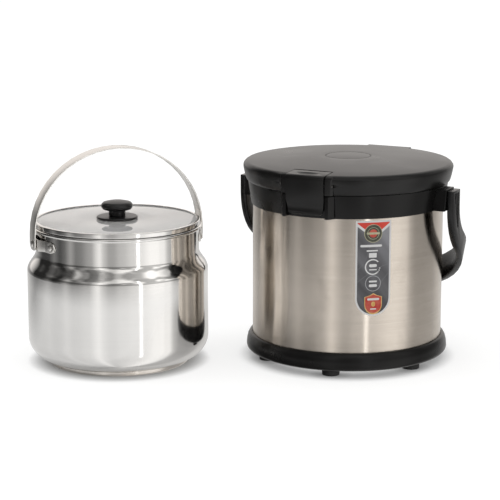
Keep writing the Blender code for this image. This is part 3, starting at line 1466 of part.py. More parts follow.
def centre_on_floor(model):
    """Moves the whole so that the middle of its footprint's box is the origin."""
    bpy.context.view_layer.update()
    graph = bpy.context.evaluated_depsgraph_get()
    corners = []
    for item in model.pieces.objects:
        if item.type != "MESH":
            continue
        mesh = item.evaluated_get(graph).to_mesh()
        corners += [item.matrix_world @ vertex.co for vertex in mesh.vertices]
        item.evaluated_get(graph).to_mesh_clear()
    low = Vector([min(c[i] for c in corners) for i in range(3)])
    high = Vector([max(c[i] for c in corners) for i in range(3)])
    middle = (low + high) / 2
    model.places["cooker"].location = (-middle.x, -middle.y, -low.z)
    bpy.context.view_layer.update()
    print("size", [round(value, 5) for value in high - low])


def build_all():
    """Builds every piece, then centres the whole on the surface it stands on."""
    clear_scene()
    model = Model()
    model.unit("cooker")
    model.unit("container", parent="cooker")
    model.unit("pot", (*POT_PLACE, 0), POT_TURN, "cooker")
    model.axis("lid_hinge", (0, HINGE_Y, HINGE_Z), "container")
    model.axis("latch_axis", (0, LATCH_PIN_Y, LATCH_PIN_Z), "lid_hinge")
    model.axis("handle_axis", (0, 0, PIVOT_Z), "container")
    model.axis("bail_axis", (0, 0, BAIL_PIVOT_HEIGHT), "pot")
    model.axis("glass_lid", (0, 0, BAND_BOTTOM), "pot")
    build_shells(model)
    build_base(model)
    build_collar(model)
    build_lid(model)
    build_latch(model)
    build_handle(model)
    build_pot(model)
    build_bail(model)
    build_glass_lid(model)
    centre_on_floor(model)
    for name, place in model.places.items():
        print(name, [round(value, 5) for value in place.matrix_world.translation])


build_all()
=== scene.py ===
# %% [markdown]
# # Dressing a thermal cooker
# The object is a pair: an insulated steel container with a black lid and a folding handle, and the
# polished steel pot that goes inside it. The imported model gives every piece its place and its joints.
# This script gives them the edges, finishes and light of the real thing.

# %% Load the frame
import math

import bmesh
import bpy
from mathutils import Matrix, Vector


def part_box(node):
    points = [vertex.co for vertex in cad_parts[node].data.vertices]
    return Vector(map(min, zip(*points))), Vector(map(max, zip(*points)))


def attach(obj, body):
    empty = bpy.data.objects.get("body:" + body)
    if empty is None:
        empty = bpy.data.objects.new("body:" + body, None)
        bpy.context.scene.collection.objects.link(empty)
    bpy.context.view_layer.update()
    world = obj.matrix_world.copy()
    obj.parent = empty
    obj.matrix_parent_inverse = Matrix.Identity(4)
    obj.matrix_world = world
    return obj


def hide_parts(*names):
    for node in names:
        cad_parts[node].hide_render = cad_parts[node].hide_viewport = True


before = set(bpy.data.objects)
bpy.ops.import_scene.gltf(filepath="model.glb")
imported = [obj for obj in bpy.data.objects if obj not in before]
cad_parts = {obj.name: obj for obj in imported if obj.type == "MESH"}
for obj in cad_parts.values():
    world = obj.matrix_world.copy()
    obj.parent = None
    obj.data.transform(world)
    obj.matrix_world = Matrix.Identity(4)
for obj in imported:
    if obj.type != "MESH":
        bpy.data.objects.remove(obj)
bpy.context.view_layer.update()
print("nodes in the frame:", len(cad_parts))

# %% [markdown]
# The container and the pot each have an upright axis. Every turned piece is drawn about its own axis,
# so the two axes are read from pieces that are round: the steel wall and the pot's base disc.
# The bail's pivots lie on a line that is turned against the room, so the pot has a turn as well.

# %% Axes of the two units


def axis_of(node):
    """The point on the floor through which a round node's axis runs."""
    low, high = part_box(node)
    middle = (low + high) / 2
    return Vector((middle.x, middle.y, 0))


CONTAINER_AXIS = axis_of("outer_shell")
POT_AXIS = axis_of("pot_base_disc")
POT_TURN = math.radians(48.5)
CONTAINER = Matrix.Translation(CONTAINER_AXIS)
POT = Matrix.Translation(POT_AXIS) @ Matrix.Rotation(POT_TURN, 4, "Z")
print("container axis", CONTAINER_AXIS.xy, "pot axis", POT_AXIS.xy)

# %% [markdown]
# The camera stands where it stood for the photograph. Its height, distance and lens come from the
# outlines of the round pieces: their ellipses give the tilt, and the way they narrow gives the
# distance. It comes first, so that every later picture is seen through it. Two flat directions, to
# its right and away from it, also place the window and the backdrop further on.

# %% Camera
CAMERA_AZIMUTH = math.radians(26.2)
CAMERA_ELEVATION = math.radians(11.84)
CAMERA_DISTANCE = 1.962
CAMERA_LENS = 134.3
CAMERA_SENSOR = 36
CAMERA_REACH = 30
AIM_RIGHT = -0.1122
AIM_AWAY = -0.1866
AIM_HEIGHT = 0.1615
TO_RIGHT = Vector((math.cos(CAMERA_AZIMUTH), math.sin(CAMERA_AZIMUTH), 0))
AWAY = Vector((-math.sin(CAMERA_AZIMUTH), math.cos(CAMERA_AZIMUTH), 0))


def ground_spot(right, beyond):
    """A spot on the floor to the right of and beyond the container's axis, as the camera sees them."""
    return CONTAINER_AXIS + TO_RIGHT * right + AWAY * beyond


def add_camera():
    """A camera that looks down on a point above the floor, between the two units."""
    aim = ground_spot(AIM_RIGHT, AIM_AWAY) + Vector((0, 0, AIM_HEIGHT))
    forward = AWAY * math.cos(CAMERA_ELEVATION) - Vector((0, 0, math.sin(CAMERA_ELEVATION)))
    data = bpy.data.cameras.new("photo_camera")
    data.lens = CAMERA_LENS
    data.sensor_width = CAMERA_SENSOR
    data.clip_end = CAMERA_REACH
    camera = bpy.data.objects.new("photo_camera", data)
    camera.location = aim - forward * CAMERA_DISTANCE
    camera.rotation_euler = (math.pi / 2 - CAMERA_ELEVATION, 0, CAMERA_AZIMUTH)
    bpy.context.scene.collection.objects.link(camera)
    bpy.context.scene.camera = camera
    print("camera at", camera.location)


add_camera()

# %% [markdown]
# ## Node groups
# Several finishes share an effect: turned metal shows fine rings, moulded plastic shows a fine grain,
# and everything that is handled has faint smudges. Each effect is one node group with named inputs,
# built once. It only puts out values that vary over the surface; the shader stays in the material.

# %% Node helpers


class Wiring:
    """A node tree with short calls for adding and joining nodes."""

    def __init__(self, tree):
        self.tree = tree

    def node(self, kind, **settings):
        """Adds a node; settings that name an input set or feed that input."""
        made = self.tree.nodes.new(kind)
        for key, value in settings.items():
            if hasattr(made, key):
                setattr(made, key, value)
            else:
                self.feed(made.inputs[key.replace("_", " ")], value)
        return made

    def feed(self, socket, value):
        """Links an output to a socket, or sets the socket's own value."""
        if isinstance(value, bpy.types.NodeSocket):
            self.tree.links.new(value, socket)
        else:
            socket.default_value = value

    def operate(self, kind, operation, values):
        """Adds a node that does one operation on its inputs, fed in their order."""
        made = self.tree.nodes.new(kind)
        made.operation = operation
        for socket, value in zip(made.inputs, values):
            self.feed(socket, value)
        return made.outputs

    def math(self, operation, *values):
        """A Math node's result."""
        return self.operate("ShaderNodeMath", operation, values)[0]

    def vector(self, operation, *values):
        """A Vector Math node's result."""
        output = "Value" if operation in ("LENGTH", "DOT_PRODUCT") else "Vector"
        return self.operate("ShaderNodeVectorMath", operation, values)[output]

    def remap(self, value, low, high, to_low=0.0, to_high=1.0):
        """A clamped Map Range node's result."""
        made = self.tree.nodes.new("ShaderNodeMapRange")
        names = ("Value", "From Min", "From Max", "To Min", "To Max")
        for name, number in zip(names, (value, low, high, to_low, to_high)):
            self.feed(made.inputs[name], number)
        return made.outputs["Result"]

    def blend(self, factor, first, second):
        """A colour mix."""
        made = self.tree.nodes.new("ShaderNodeMix")
        made.data_type = "RGBA"
        self.feed(made.inputs["Factor"], factor)
        self.feed(made.inputs["A"], first)
        self.feed(made.inputs["B"], second)
        return made.outputs["Result"]


SOCKETS = {"value": "NodeSocketFloat", "vector": "NodeSocketVector", "colour": "NodeSocketColor"}


def new_group(name, inputs, outputs):
    """An empty node group; inputs are (name, kind, default) and outputs are (name, kind)."""
    group = bpy.data.node_groups.new(name, "ShaderNodeTree")
    for label, kind, value in inputs:
        socket = group.interface.new_socket(name=label, in_out="INPUT", socket_type=SOCKETS[kind])
        socket.default_value = value
    for label, kind in outputs:
        group.interface.new_socket(name=label, in_out="OUTPUT", socket_type=SOCKETS[kind])
    wiring = Wiring(group)
    return group, wiring, wiring.node("NodeGroupInput"), wiring.node("NodeGroupOutput")


# %% [markdown]
# Turned steel carries very fine rings round its axis, on its side and on its flats alike. A noise that
# runs slowly round the axis and very fast along height plus radius gives them on any turned shape.
# A second noise at a much slower pace gives the wider bands between them.

# %% Turning rings group
BAND_PACE = 0.06


def make_rings_group():
    """Fine rings round an upright axis."""
    group, wiring, start, end = new_group(
        "turning_rings",
        [("Axis", "vector", (0, 0, 0)), ("Lines per metre", "value", 1500.0), ("Wander", "value", 7.0)],
        [("Lines", "value"), ("Bands", "value")],
    )
    place = wiring.node("ShaderNodeTexCoord").outputs["Object"]
    local = wiring.vector("SUBTRACT", place, start.outputs["Axis"])
    parts = wiring.node("ShaderNodeSeparateXYZ", Vector=local)
    flat = wiring.node("ShaderNodeCombineXYZ", X=parts.outputs["X"], Y=parts.outputs["Y"]).outputs[0]
    run = wiring.math("ADD", wiring.vector("LENGTH", flat), parts.outputs["Z"])
    fast = wiring.math("MULTIPLY", run, start.outputs["Lines per metre"])
    slow_x = wiring.math("MULTIPLY", parts.outputs["X"], start.outputs["Wander"])
    slow_y = wiring.math("MULTIPLY", parts.outputs["Y"], start.outputs["Wander"])
    where = wiring.node("ShaderNodeCombineXYZ", X=slow_x, Y=slow_y, Z=fast).outputs[0]
    fine = wiring.node("ShaderNodeTexNoise", Vector=where, Scale=1.0, Detail=4.0, Roughness=0.7)
    wide_run = wiring.math("MULTIPLY", fast, BAND_PACE)
    wide_where = wiring.node("ShaderNodeCombineXYZ", X=slow_x, Y=slow_y, Z=wide_run).outputs[0]
    wide = wiring.node("ShaderNodeTexNoise", Vector=wide_where, Scale=1.0, Detail=2.0, Roughness=0.5)
    wiring.feed(end.inputs["Lines"], fine.outputs[0])
    wiring.feed(end.inputs["Bands"], wide.outputs[0])
    return group


RINGS = make_rings_group()
print("made group", RINGS.name)

# %% [markdown]
# Moulded plastic has a fine spark-eroded grain, which breaks up its shine. Hands leave soft smudges on
# every smooth surface. Both are plain noises, at a size that is given in repeats per metre.

# %% Grain and smudge groups
SMUDGE_RISE = 0.22


def make_grain_group():
    """Moulded grain: a height for bump and a slow drift in shade."""
    group, wiring, start, end = new_group(
        "moulded_grain",
        [("Repeats per metre", "value", 1800.0), ("Drift per metre", "value", 9.0)],
        [("Height", "value"), ("Drift", "value")],
    )
    place = wiring.node("ShaderNodeTexCoord").outputs["Object"]
    grain = wiring.node("ShaderNodeTexNoise", Vector=place, Detail=2.0, Roughness=0.55)
    wiring.feed(grain.inputs["Scale"], start.outputs["Repeats per metre"])
    drift = wiring.node("ShaderNodeTexNoise", Vector=place, Detail=3.0, Roughness=0.5)
    wiring.feed(drift.inputs["Scale"], start.outputs["Drift per metre"])
    wiring.feed(end.inputs["Height"], grain.outputs[0])
    wiring.feed(end.inputs["Drift"], drift.outputs[0])
    return group


def make_smudge_group():
    """Faint smudges of handling: patches that come and go."""
    group, wiring, start, end = new_group(
        "handling_smudges",
        [("Repeats per metre", "value", 16.0), ("Threshold", "value", 0.5)],
        [("Smudge", "value")],
    )
    place = wiring.node("ShaderNodeTexCoord").outputs["Object"]
    patches = wiring.node("ShaderNodeTexNoise", Vector=place, Detail=6.0, Roughness=0.62, Distortion=0.6)
    wiring.feed(patches.inputs["Scale"], start.outputs["Repeats per metre"])
    above = wiring.math("SUBTRACT", patches.outputs[0], start.outputs["Threshold"])
    wiring.feed(end.inputs["Smudge"], wiring.remap(above, 0.0, SMUDGE_RISE))
    return group


GRAIN = make_grain_group()
SMUDGES = make_smudge_group()
print("made groups", GRAIN.name, SMUDGES.name)

# %% [markdown]
# ## Finishes
# Each finish is a Principled shader. Numbers and colours that are the same all over go straight on its
# sockets, and only what varies comes from the groups. A noise node's values lie mostly between 0.3 and
# 0.7, so that range is stretched to the full one where a finish needs it.

# %% Material helpers
NOISE_RANGE = (0.3, 0.7)


def new_material(name, **sockets):
    """A material with one Principled shader; plain numbers and colours go on its own sockets."""
    material = bpy.data.materials.new(name)
    material.use_nodes = True
    wiring = Wiring(material.node_tree)
    shader = material.node_tree.nodes["Principled BSDF"]
    for label, value in sockets.items():
        wiring.feed(shader.inputs[label.replace("_", " ")], value)
    return material, wiring, shader


def add_group(wiring, group, **inputs):
    """A node group placed in a material with its own values."""
    made = wiring.node("ShaderNodeGroup")
    made.node_tree = group
    for label, value in inputs.items():
        wiring.feed(made.inputs[label.replace("_", " ")], value)
    return made.outputs


def add_bump(wiring, shader, height, depth):
    """Bump from a height of 0 to 1, with its depth in metres."""
    bump = wiring.node("ShaderNodeBump", Strength=1.0, Distance=depth, Height=height)
    wiring.feed(shader.inputs["Normal"], bump.outputs[0])


# %% [markdown]
# The container's wall is brushed round and round, so its shine is drawn out up and down: that is what
# anisotropy does. The pot is polished, with faint rings left from the lathe. The depth of a bump is
# given in metres: these rings are no deeper than a few thousandths of a millimetre.

# %% Steel finishes
WALL_STEEL = (0.745, 0.675, 0.6, 1)
WALL_STEEL_DARK = (0.59, 0.532, 0.466, 1)
POT_STEEL = (0.83, 0.82, 0.805, 1)
POT_STEEL_DARK = (0.76, 0.75, 0.735, 1)
LINE_SHADE = 0.6
BAND_SHADE = 0.4
SMUDGE_SHADE = 0.35
QUARTER_ROTATION = 0.25


def turned_steel(name, axis, light, dark, roughness, spread, depth, anisotropy=0.0, pace=1500.0):
    """Turned or brushed steel with rings round its own axis, at a pace in lines per metre, and smudges."""
    material, wiring, shader = new_material(name, Metallic=1.0, Anisotropic=anisotropy)
    rings = add_group(wiring, RINGS, Axis=axis, Lines_per_metre=pace)
    lines = wiring.remap(rings["Lines"], *NOISE_RANGE)
    fine = wiring.math("MULTIPLY", lines, LINE_SHADE)
    shade = wiring.math("ADD", fine, wiring.math("MULTIPLY", rings["Bands"], BAND_SHADE))
    smudge = add_group(wiring, SMUDGES, Threshold=0.5)["Smudge"]
    shade = wiring.math("SUBTRACT", shade, wiring.math("MULTIPLY", smudge, SMUDGE_SHADE))
    wiring.feed(shader.inputs["Base Color"], wiring.blend(shade, dark, light))
    rough = wiring.remap(lines, 0.0, 1.0, roughness, roughness + spread)
    rough = wiring.math("ADD", rough, wiring.math("MULTIPLY", smudge, spread))
    wiring.feed(shader.inputs["Roughness"], rough)
    add_bump(wiring, shader, lines, depth)
    if anisotropy:
        tangent = wiring.node("ShaderNodeTangent", direction_type="RADIAL", axis="Z")
        wiring.feed(shader.inputs["Tangent"], tangent.outputs[0])
        shader.inputs["Anisotropic Rotation"].default_value = QUARTER_ROTATION
    return material


BRUSHED_WALL = turned_steel(
    "brushed_wall_steel", CONTAINER_AXIS, WALL_STEEL, WALL_STEEL_DARK,
    roughness=0.22, spread=0.03, depth=8e-7, anisotropy=0.98, pace=1300.0,
)
POLISHED_POT = turned_steel(
    "polished_pot_steel", POT_AXIS, POT_STEEL, POT_STEEL_DARK, roughness=0.06, spread=0.05, depth=4e-7
)
POT_BASE = turned_steel(
    "turned_base_steel", POT_AXIS, POT_STEEL, WALL_STEEL, roughness=0.14, spread=0.1, depth=3e-6
)
LINER_STEEL = turned_steel(
    "liner_steel", CONTAINER_AXIS, POT_STEEL, POT_STEEL_DARK, roughness=0.16, spread=0.1, depth=2e-6
)
print("turned steel ready")

# %% [markdown]
# The bail, its brackets and the rivets are rolled strip and pressed parts. They have no turning rings,
# only a fine grain, and a slow drift in shade and shine. The pins are the same steel, much darker.

# %% Strip and pin steel
STRIP_SPREAD = 0.1
STRIP_GRAIN = 6e-7


def strip_steel(name, light, dark, roughness):
    """Satin steel with a fine grain."""
    material, wiring, shader = new_material(name, Metallic=1.0)
    grain = add_group(wiring, GRAIN, Repeats_per_metre=900.0, Drift_per_metre=30.0)
    wiring.feed(shader.inputs["Base Color"], wiring.blend(grain["Drift"], dark, light))
    rough = wiring.remap(grain["Drift"], *NOISE_RANGE, roughness, roughness + STRIP_SPREAD)
    wiring.feed(shader.inputs["Roughness"], rough)
    add_bump(wiring, shader, grain["Height"], STRIP_GRAIN)
    return material


STRIP_STEEL = strip_steel(
    "rolled_strip_steel", (0.84, 0.82, 0.79, 1), (0.74, 0.72, 0.69, 1), roughness=0.16
)
PIN_STEEL = strip_steel("dark_pin_steel", (0.2, 0.195, 0.19, 1), (0.13, 0.125, 0.12, 1), roughness=0.4)
print("strip and pin steel ready")

# %% [markdown]
# The black plastic is moulded with a satin grain. Seen at a low angle it still reflects the pale room,
# which is why the lid's top looks grey in the photograph while its side is nearly black. Rubber,
# silicone and foam are moulded too, so they share the helper with other colours, shine and grain.

# %% Plastic, rubber, silicone and foam
DEEP_BLACK = (0.0035, 0.0032, 0.0031)
SOFT_BLACK = (0.004, 0.004, 0.0043)
PALER_TIMES = 1.5
PALER_PLUS = 0.002
SMOOTHER = 0.02
ROUGHER = 0.03
SMUDGE_GLOSS = 0.04


def moulded_plastic(name, colour, roughness, depth, repeats=1800.0, shine=0.5):
    """Moulded plastic with grain, a slow drift in shade and faint smudges."""
    material, wiring, shader = new_material(name, IOR=1.49, Specular_IOR_Level=shine)
    grain = add_group(wiring, GRAIN, Repeats_per_metre=repeats)
    smudge = add_group(wiring, SMUDGES, Repeats_per_metre=22.0, Threshold=0.54)["Smudge"]
    paler = tuple(min(1, channel * PALER_TIMES + PALER_PLUS) for channel in colour)
    wiring.feed(shader.inputs["Base Color"], wiring.blend(grain["Drift"], (*colour, 1), (*paler, 1)))
    rough = wiring.remap(grain["Drift"], *NOISE_RANGE, roughness - SMOOTHER, roughness + ROUGHER)
    rough = wiring.math("SUBTRACT", rough, wiring.math("MULTIPLY", smudge, SMUDGE_GLOSS))
    wiring.feed(shader.inputs["Roughness"], rough)
    add_bump(wiring, shader, grain["Height"], depth)
    return material


SATIN_BLACK = moulded_plastic("satin_black_plastic", DEEP_BLACK, roughness=0.27, depth=5e-6, shine=0.25)
LID_BLACK = moulded_plastic("lid_black_plastic", DEEP_BLACK, roughness=0.3, depth=6e-6, shine=0.36)
HANDLE_BLACK = moulded_plastic("handle_black_plastic", SOFT_BLACK, roughness=0.27, depth=4e-6, shine=0.4)
KNOB_BLACK = moulded_plastic("knob_black_plastic", (0.006, 0.006, 0.006), roughness=0.34, depth=5e-6)
FOOT_RUBBER = moulded_plastic("foot_rubber", (0.008, 0.008, 0.008), roughness=0.6, depth=2e-5)
SEAL_SILICONE = moulded_plastic("seal_silicone", (0.42, 0.42, 0.41), roughness=0.5, depth=8e-6)
FOAM = moulded_plastic("white_foam", (0.8, 0.79, 0.75), roughness=0.9, depth=1e-4, repeats=700.0)
print("plastic, rubber, silicone and foam ready")

# %% [markdown]
# The pot's lid is clear tempered glass. Light passes through it and the room shines on it, so it is
# left smooth, and smudges only touch its roughness. Transmission stays below 1, because the real disc
# looks paler than what lies under it.

# %% Glass
GLASS_ROUGHNESS = (0.015, 0.07)


def lid_glass_material():
    """Clear glass with faint smudges."""
    material, wiring, shader = new_material(
        "clear_lid_glass", Base_Color=(1, 1, 0.995, 1), Transmission_Weight=0.72, IOR=1.5
    )
    smudge = add_group(wiring, SMUDGES, Repeats_per_metre=30.0, Threshold=0.55)["Smudge"]
    wiring.feed(shader.inputs["Roughness"], wiring.remap(smudge, 0.0, 1.0, *GLASS_ROUGHNESS))
    return material


CLEAR_GLASS = lid_glass_material()
print("glass ready:", CLEAR_GLASS.name)

# %% [markdown]
# ## Shaping helpers
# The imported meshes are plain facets. A turned piece is read back as its section and turned again with
# many more steps and rounded corners. Any other piece is copied, its split corners are joined, flat
# triangles are merged, and every hard edge gets a small round, which is what catches the light.

# %% Mesh helpers
WELD = 0.000002
FLAT_ANGLE = math.radians(0.4)
HARD_ANGLE = math.radians(32)


def finish_mesh(bm, name):
    """A mesh from bmesh data, smooth across shallow angles."""
    bmesh.ops.recalc_face_normals(bm, faces=bm.faces)
    mesh = bpy.data.meshes.new(name)
    bm.to_mesh(mesh)
    bm.free()
    mesh.shade_smooth()
    mesh.set_sharp_from_angle(angle=HARD_ANGLE)
    return mesh


def place_piece(name, mesh, material, body, nodes):
    """Puts a piece in the scene on its body, in place of the nodes that it stands for."""
    mesh.materials.append(material)
    piece = bpy.data.objects.new(name, mesh)
    bpy.context.scene.collection.objects.link(piece)
    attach(piece, body)
    if nodes:
        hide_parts(*nodes)


def joined_copy(node):
    """A node's mesh as bmesh data, with its split corners joined."""
    bm = bmesh.new()
    bm.from_mesh(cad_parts[node].data)
    bmesh.ops.remove_doubles(bm, verts=bm.verts, dist=WELD)
    return bm


# %% [markdown]
# A turned node's section is the chain of its edges that lie in one plane through its axis. The chain is
# closed on a ring and open on a piece that reaches the axis, where it starts and ends.

# %% Section of a turned node


def section_of(node, place, turn=0.0):
    """The ordered section of a turned node as (radius, height) points, and whether it is closed."""
    bm = joined_copy(node)
    inverse = place.inverted()
    along = Vector((math.cos(turn), math.sin(turn), 0))
    across = Vector((-along.y, along.x, 0))
    spots = {}
    for vertex in bm.verts:
        local = inverse @ vertex.co
        if abs(local.dot(across)) < WELD and local.dot(along) > -WELD:
            spots[vertex.index] = (max(0.0, local.dot(along)), local.z)
    links = {index: [] for index in spots}
    for edge in bm.edges:
        first, second = (vertex.index for vertex in edge.verts)
        if first in spots and second in spots:
            links[first].append(second)
            links[second].append(first)
    bm.free()
    ends = [index for index, near in links.items() if len(near) == 1]
    chain = [ends[0] if ends else min(links)]
    while True:
        ahead = [index for index in links[chain[-1]] if index not in chain]
        if not ahead:
            break
        chain.append(ahead[0])
    points = [spots[index] for index in chain]
    if ends and points[0][0] > WELD:
        points.insert(0, (0.0, points[0][1]))
    if ends and points[-1][0] > WELD:
        points.append((0.0, points[-1][1]))
    return points, not ends


# %% [markdown]
# Real corners are never sharp. Each hard corner of the section is swapped for a short bend, which uses
# less than half of the straight on either side, so that two bends never meet.

# %% Rounding a section
CORNER_SHARE = 0.45
CORNER_STEPS = 4


def on_bend(start, middle, end, share):
    """The point at a share of the way along a bend from start to end that leans toward middle."""
    return start.lerp(middle, share).lerp(middle.lerp(end, share), share)


def rounded(points, closed, radius):
    """A section with its hard corners rounded."""
    made = []
    count = len(points)
    for i, point in enumerate(points):
        if not closed and i in (0, count - 1):
            made.append(point)
            continue
        here = Vector(point)
        back = Vector(points[i - 1]) - here
        ahead = Vector(points[(i + 1) % count]) - here
        turn = math.pi - back.angle(ahead)
        if turn < HARD_ANGLE:
            made.append(point)
            continue
        reach = min(radius, back.length * CORNER_SHARE, ahead.length * CORNER_SHARE)
        start = here + back.normalized() * reach
        end = here + ahead.normalized() * reach
        for step in range(CORNER_STEPS + 1):
            spot = on_bend(start, here, end, step / CORNER_STEPS)
            made.append((spot.x, spot.y))
    return made


# %% [markdown]
# Turning works as on a lathe: each point of the section becomes a ring of corners, a point on the axis
# stays one corner, and neighbouring rings are joined by faces.

# %% Turning a section
FINE_STEPS = 128


def turned_mesh(name, section, place, closed=False, steps=FINE_STEPS):
    """A section turned about an axis."""
    bm = bmesh.new()
    angles = [math.tau * i / steps for i in range(steps)]
    rings = []
    for radius, height in section:
        spots = [(0, 0, height)]
        if radius >= WELD:
            spots = [(radius * math.cos(a), radius * math.sin(a), height) for a in angles]
        rings.append([bm.verts.new(place @ Vector(spot)) for spot in spots])
    pairs = list(zip(rings, rings[1:]))
    if closed:
        pairs.append((rings[-1], rings[0]))
    for low, high in pairs:
        for i in range(steps):
            path = ((low, i), (low, i + 1), (high, i + 1), (high, i))
            corners = list(dict.fromkeys(loop[step % len(loop)] for loop, step in path))
            if len(corners) > 2:
                bm.faces.new(corners)
    return finish_mesh(bm, name)


def turn_node(node, material, place, body, edge, turn=0.0):
    """A turned node drawn again, finer and with rounded corners."""
    section, closed = section_of(node, place, turn)
    section = rounded(section, closed, edge)
    name = f"{node}_shape"
    print(node, "section points", len(section), "closed", closed, "ends", section[0], section[-1])
    place_piece(name, turned_mesh(name, section, place, closed), material, body, [node])


# %% [markdown]
# Most of the object is turned: walls, rings, discs, the knob and the feet. The list gives each node's
# finish, axis, body, slot and corner radius, and the side on which its section is read. The lid's disc
# is read a quarter round, because that is where its corners lie. Each foot has its own axis.

# %% Turned pieces
QUARTER = math.pi / 2
FEET = 6
TURNED = [
    ("outer_shell", BRUSHED_WALL, CONTAINER, "container", "brushed_shell_steel", 0.0002, 0),
    ("shell_bottom", LINER_STEEL, CONTAINER, "container", "brushed_shell_steel", 0.001, 0),
    ("inner_liner", LINER_STEEL, CONTAINER, "container", "polished_steel", 0.0004, 0),
    ("base_ring", SATIN_BLACK, CONTAINER, "container", "black_plastic", 0.0006, 0),
    ("lid_disc", LID_BLACK, CONTAINER, "lid", "black_plastic", 0.0004, QUARTER),
    ("lid_liner", LINER_STEEL, CONTAINER, "lid", "polished_steel", 0.0006, 0),
    ("lid_foam", FOAM, CONTAINER, "lid", "foam", 0.0006, 0),
    ("lid_seal", SEAL_SILICONE, CONTAINER, "lid", "silicone", 0.0006, 0),
    ("pot_base_disc", POT_BASE, POT, "pot", "brushed_shell_steel", 0.0004, 0),
    ("lid_glass", CLEAR_GLASS, POT, "glass_lid", "lid_glass", 0.0006, 0),
    ("glass_rim_band", POLISHED_POT, POT, "glass_lid", "polished_steel", 0.0005, 0),
    ("knob_flange", KNOB_BLACK, POT, "glass_lid", "black_gloss_plastic", 0.0005, 0),
    ("lid_knob", KNOB_BLACK, POT, "glass_lid", "black_gloss_plastic", 0.0008, 0),
    ("knob_screw", STRIP_STEEL, POT, "glass_lid", "pin_steel", 0.0003, 0),
]
for node, material, place, body, slot, edge, turn in TURNED:
    turn_node(node, material, place, body, edge, turn)
for number in range(1, FEET + 1):
    place = Matrix.Translation(axis_of(f"foot_{number}"))
    turn_node(f"foot_{number}", FOOT_RUBBER, place, "container", 0.0008)
print("turned pieces made:", len(TURNED) + FEET)

# %% [markdown]
# The pot's wall is a mirror and would show every facet, so its section is drawn here with many more
# points than the solid has: a flat bottom, a round corner, a straight side, a shoulder that eases into
# the neck, and the rolled bead at the rim. Then it comes back down inside, one wall's thickness in.

# %% Pot body
POT_FLOOR = 0.0058
POT_WALL = 0.0008
POT_RADIUS = 0.103
POT_CORNER = 0.024
POT_NECK_RADIUS = 0.093
SHOULDER_FOOT = 0.107
SHOULDER_TOP = 0.129
POT_RIM = 0.1583
BEAD_WIDTH = 0.0034
BEAD_HEIGHT = 0.0038
POT_STEPS = 192
CORNER_POINTS = 14
SHOULDER_POINTS = 22
BEAD_POINTS = 10


def pot_side(inset):
    """The pot's side from its flat bottom up to its neck, inset by the wall."""
    corner = POT_CORNER - inset
    radius = POT_RADIUS - inset
    points = []
    for i in range(CORNER_POINTS + 1):
        angle = QUARTER * i / CORNER_POINTS
        height = POT_FLOOR + inset + corner * (1 - math.cos(angle))
        points.append((radius - corner + corner * math.sin(angle), height))
    for i in range(SHOULDER_POINTS + 1):
        share = i / SHOULDER_POINTS
        ease = (1 - math.cos(math.pi * share)) / 2
        height = SHOULDER_FOOT + (SHOULDER_TOP - SHOULDER_FOOT) * share
        points.append((radius - (POT_RADIUS - POT_NECK_RADIUS) * ease, height))
    return points


def make_pot_body():
    """The pot's wall with its rolled bead, outside and inside."""
    outside = [(0, POT_FLOOR)] + pot_side(0)
    foot = POT_RIM - BEAD_HEIGHT
    outside.append((POT_NECK_RADIUS, foot - BEAD_HEIGHT / 6))
    for i in range(BEAD_POINTS + 1):
        angle = math.pi * i / BEAD_POINTS - QUARTER
        radius = POT_NECK_RADIUS + BEAD_WIDTH / 2 + BEAD_WIDTH / 2 * math.cos(angle)
        outside.append((radius, foot + BEAD_HEIGHT / 2 * (1 + math.sin(angle))))
    inner_neck = POT_NECK_RADIUS - POT_WALL
    inside = [(inner_neck + POT_WALL / 2, POT_RIM), (inner_neck, POT_RIM - POT_WALL / 2)]
    inside += pot_side(POT_WALL)[::-1] + [(0, POT_FLOOR + POT_WALL)]
    mesh = turned_mesh("pot_body_shape", outside + inside, POT, steps=POT_STEPS)
    place_piece("pot_body_shape", mesh, POLISHED_POT, "pot", ["pot_body"])


make_pot_body()
print("pot body made")

# %% [markdown]
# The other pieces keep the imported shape: collar, lid cover, latch, handle, bail, brackets and pins.
# They are copied, and their hard edges are rounded by the radius that the list gives. Pieces that are
# small and already round keep their edges.

# %% Copied pieces
EDGE_STEPS = 3
EDGE_PROFILE = 0.6


def refine(node, material, body, edge):
    """A piece copied from a node, with joined corners and rounded hard edges."""
    bm = joined_copy(node)
    bmesh.ops.dissolve_limit(bm, angle_limit=FLAT_ANGLE, verts=bm.verts, edges=bm.edges)
    if edge:
        hard = [e for e in bm.edges if e.is_manifold and e.calc_face_angle(0) > HARD_ANGLE]
        bmesh.ops.bevel(
            bm, geom=hard, offset=edge, segments=EDGE_STEPS, profile=EDGE_PROFILE,
            affect="EDGES", clamp_overlap=True,
        )
    name = f"{node}_shape"
    place_piece(name, finish_mesh(bm, name), material, body, [node])


COPIED = [
    ("collar", SATIN_BLACK, "container", "black_plastic", 0.0009),
    ("hinge_pin", PIN_STEEL, "container", "pin_steel", 0.0002),
    ("handle_pin_left", PIN_STEEL, "container", "pin_steel", 0.0002),
    ("handle_pin_right", PIN_STEEL, "container", "pin_steel", 0.0002),
    ("lid_cover", LID_BLACK, "lid", "black_plastic", 0.001),
    ("latch_pin", PIN_STEEL, "lid", "pin_steel", 0.0002),
    ("latch_spring", PIN_STEEL, "lid", "pin_steel", 0),
    ("latch_lever", LID_BLACK, "latch", "black_plastic", 0.0008),
    ("carry_handle", HANDLE_BLACK, "handle", "black_plastic", 0.0003),
    ("bail", STRIP_STEEL, "bail", "polished_steel", 0.0004),
]
for side in ("left", "right"):
    COPIED.append((f"bail_bracket_{side}", STRIP_STEEL, "pot", "polished_steel", 0.0003))
    COPIED.append((f"bail_pivot_{side}", STRIP_STEEL, "pot", "polished_steel", 0))
    for end in "ab":
        COPIED.append((f"bracket_rivet_{side}_{end}", STRIP_STEEL, "pot", "polished_steel", 0))
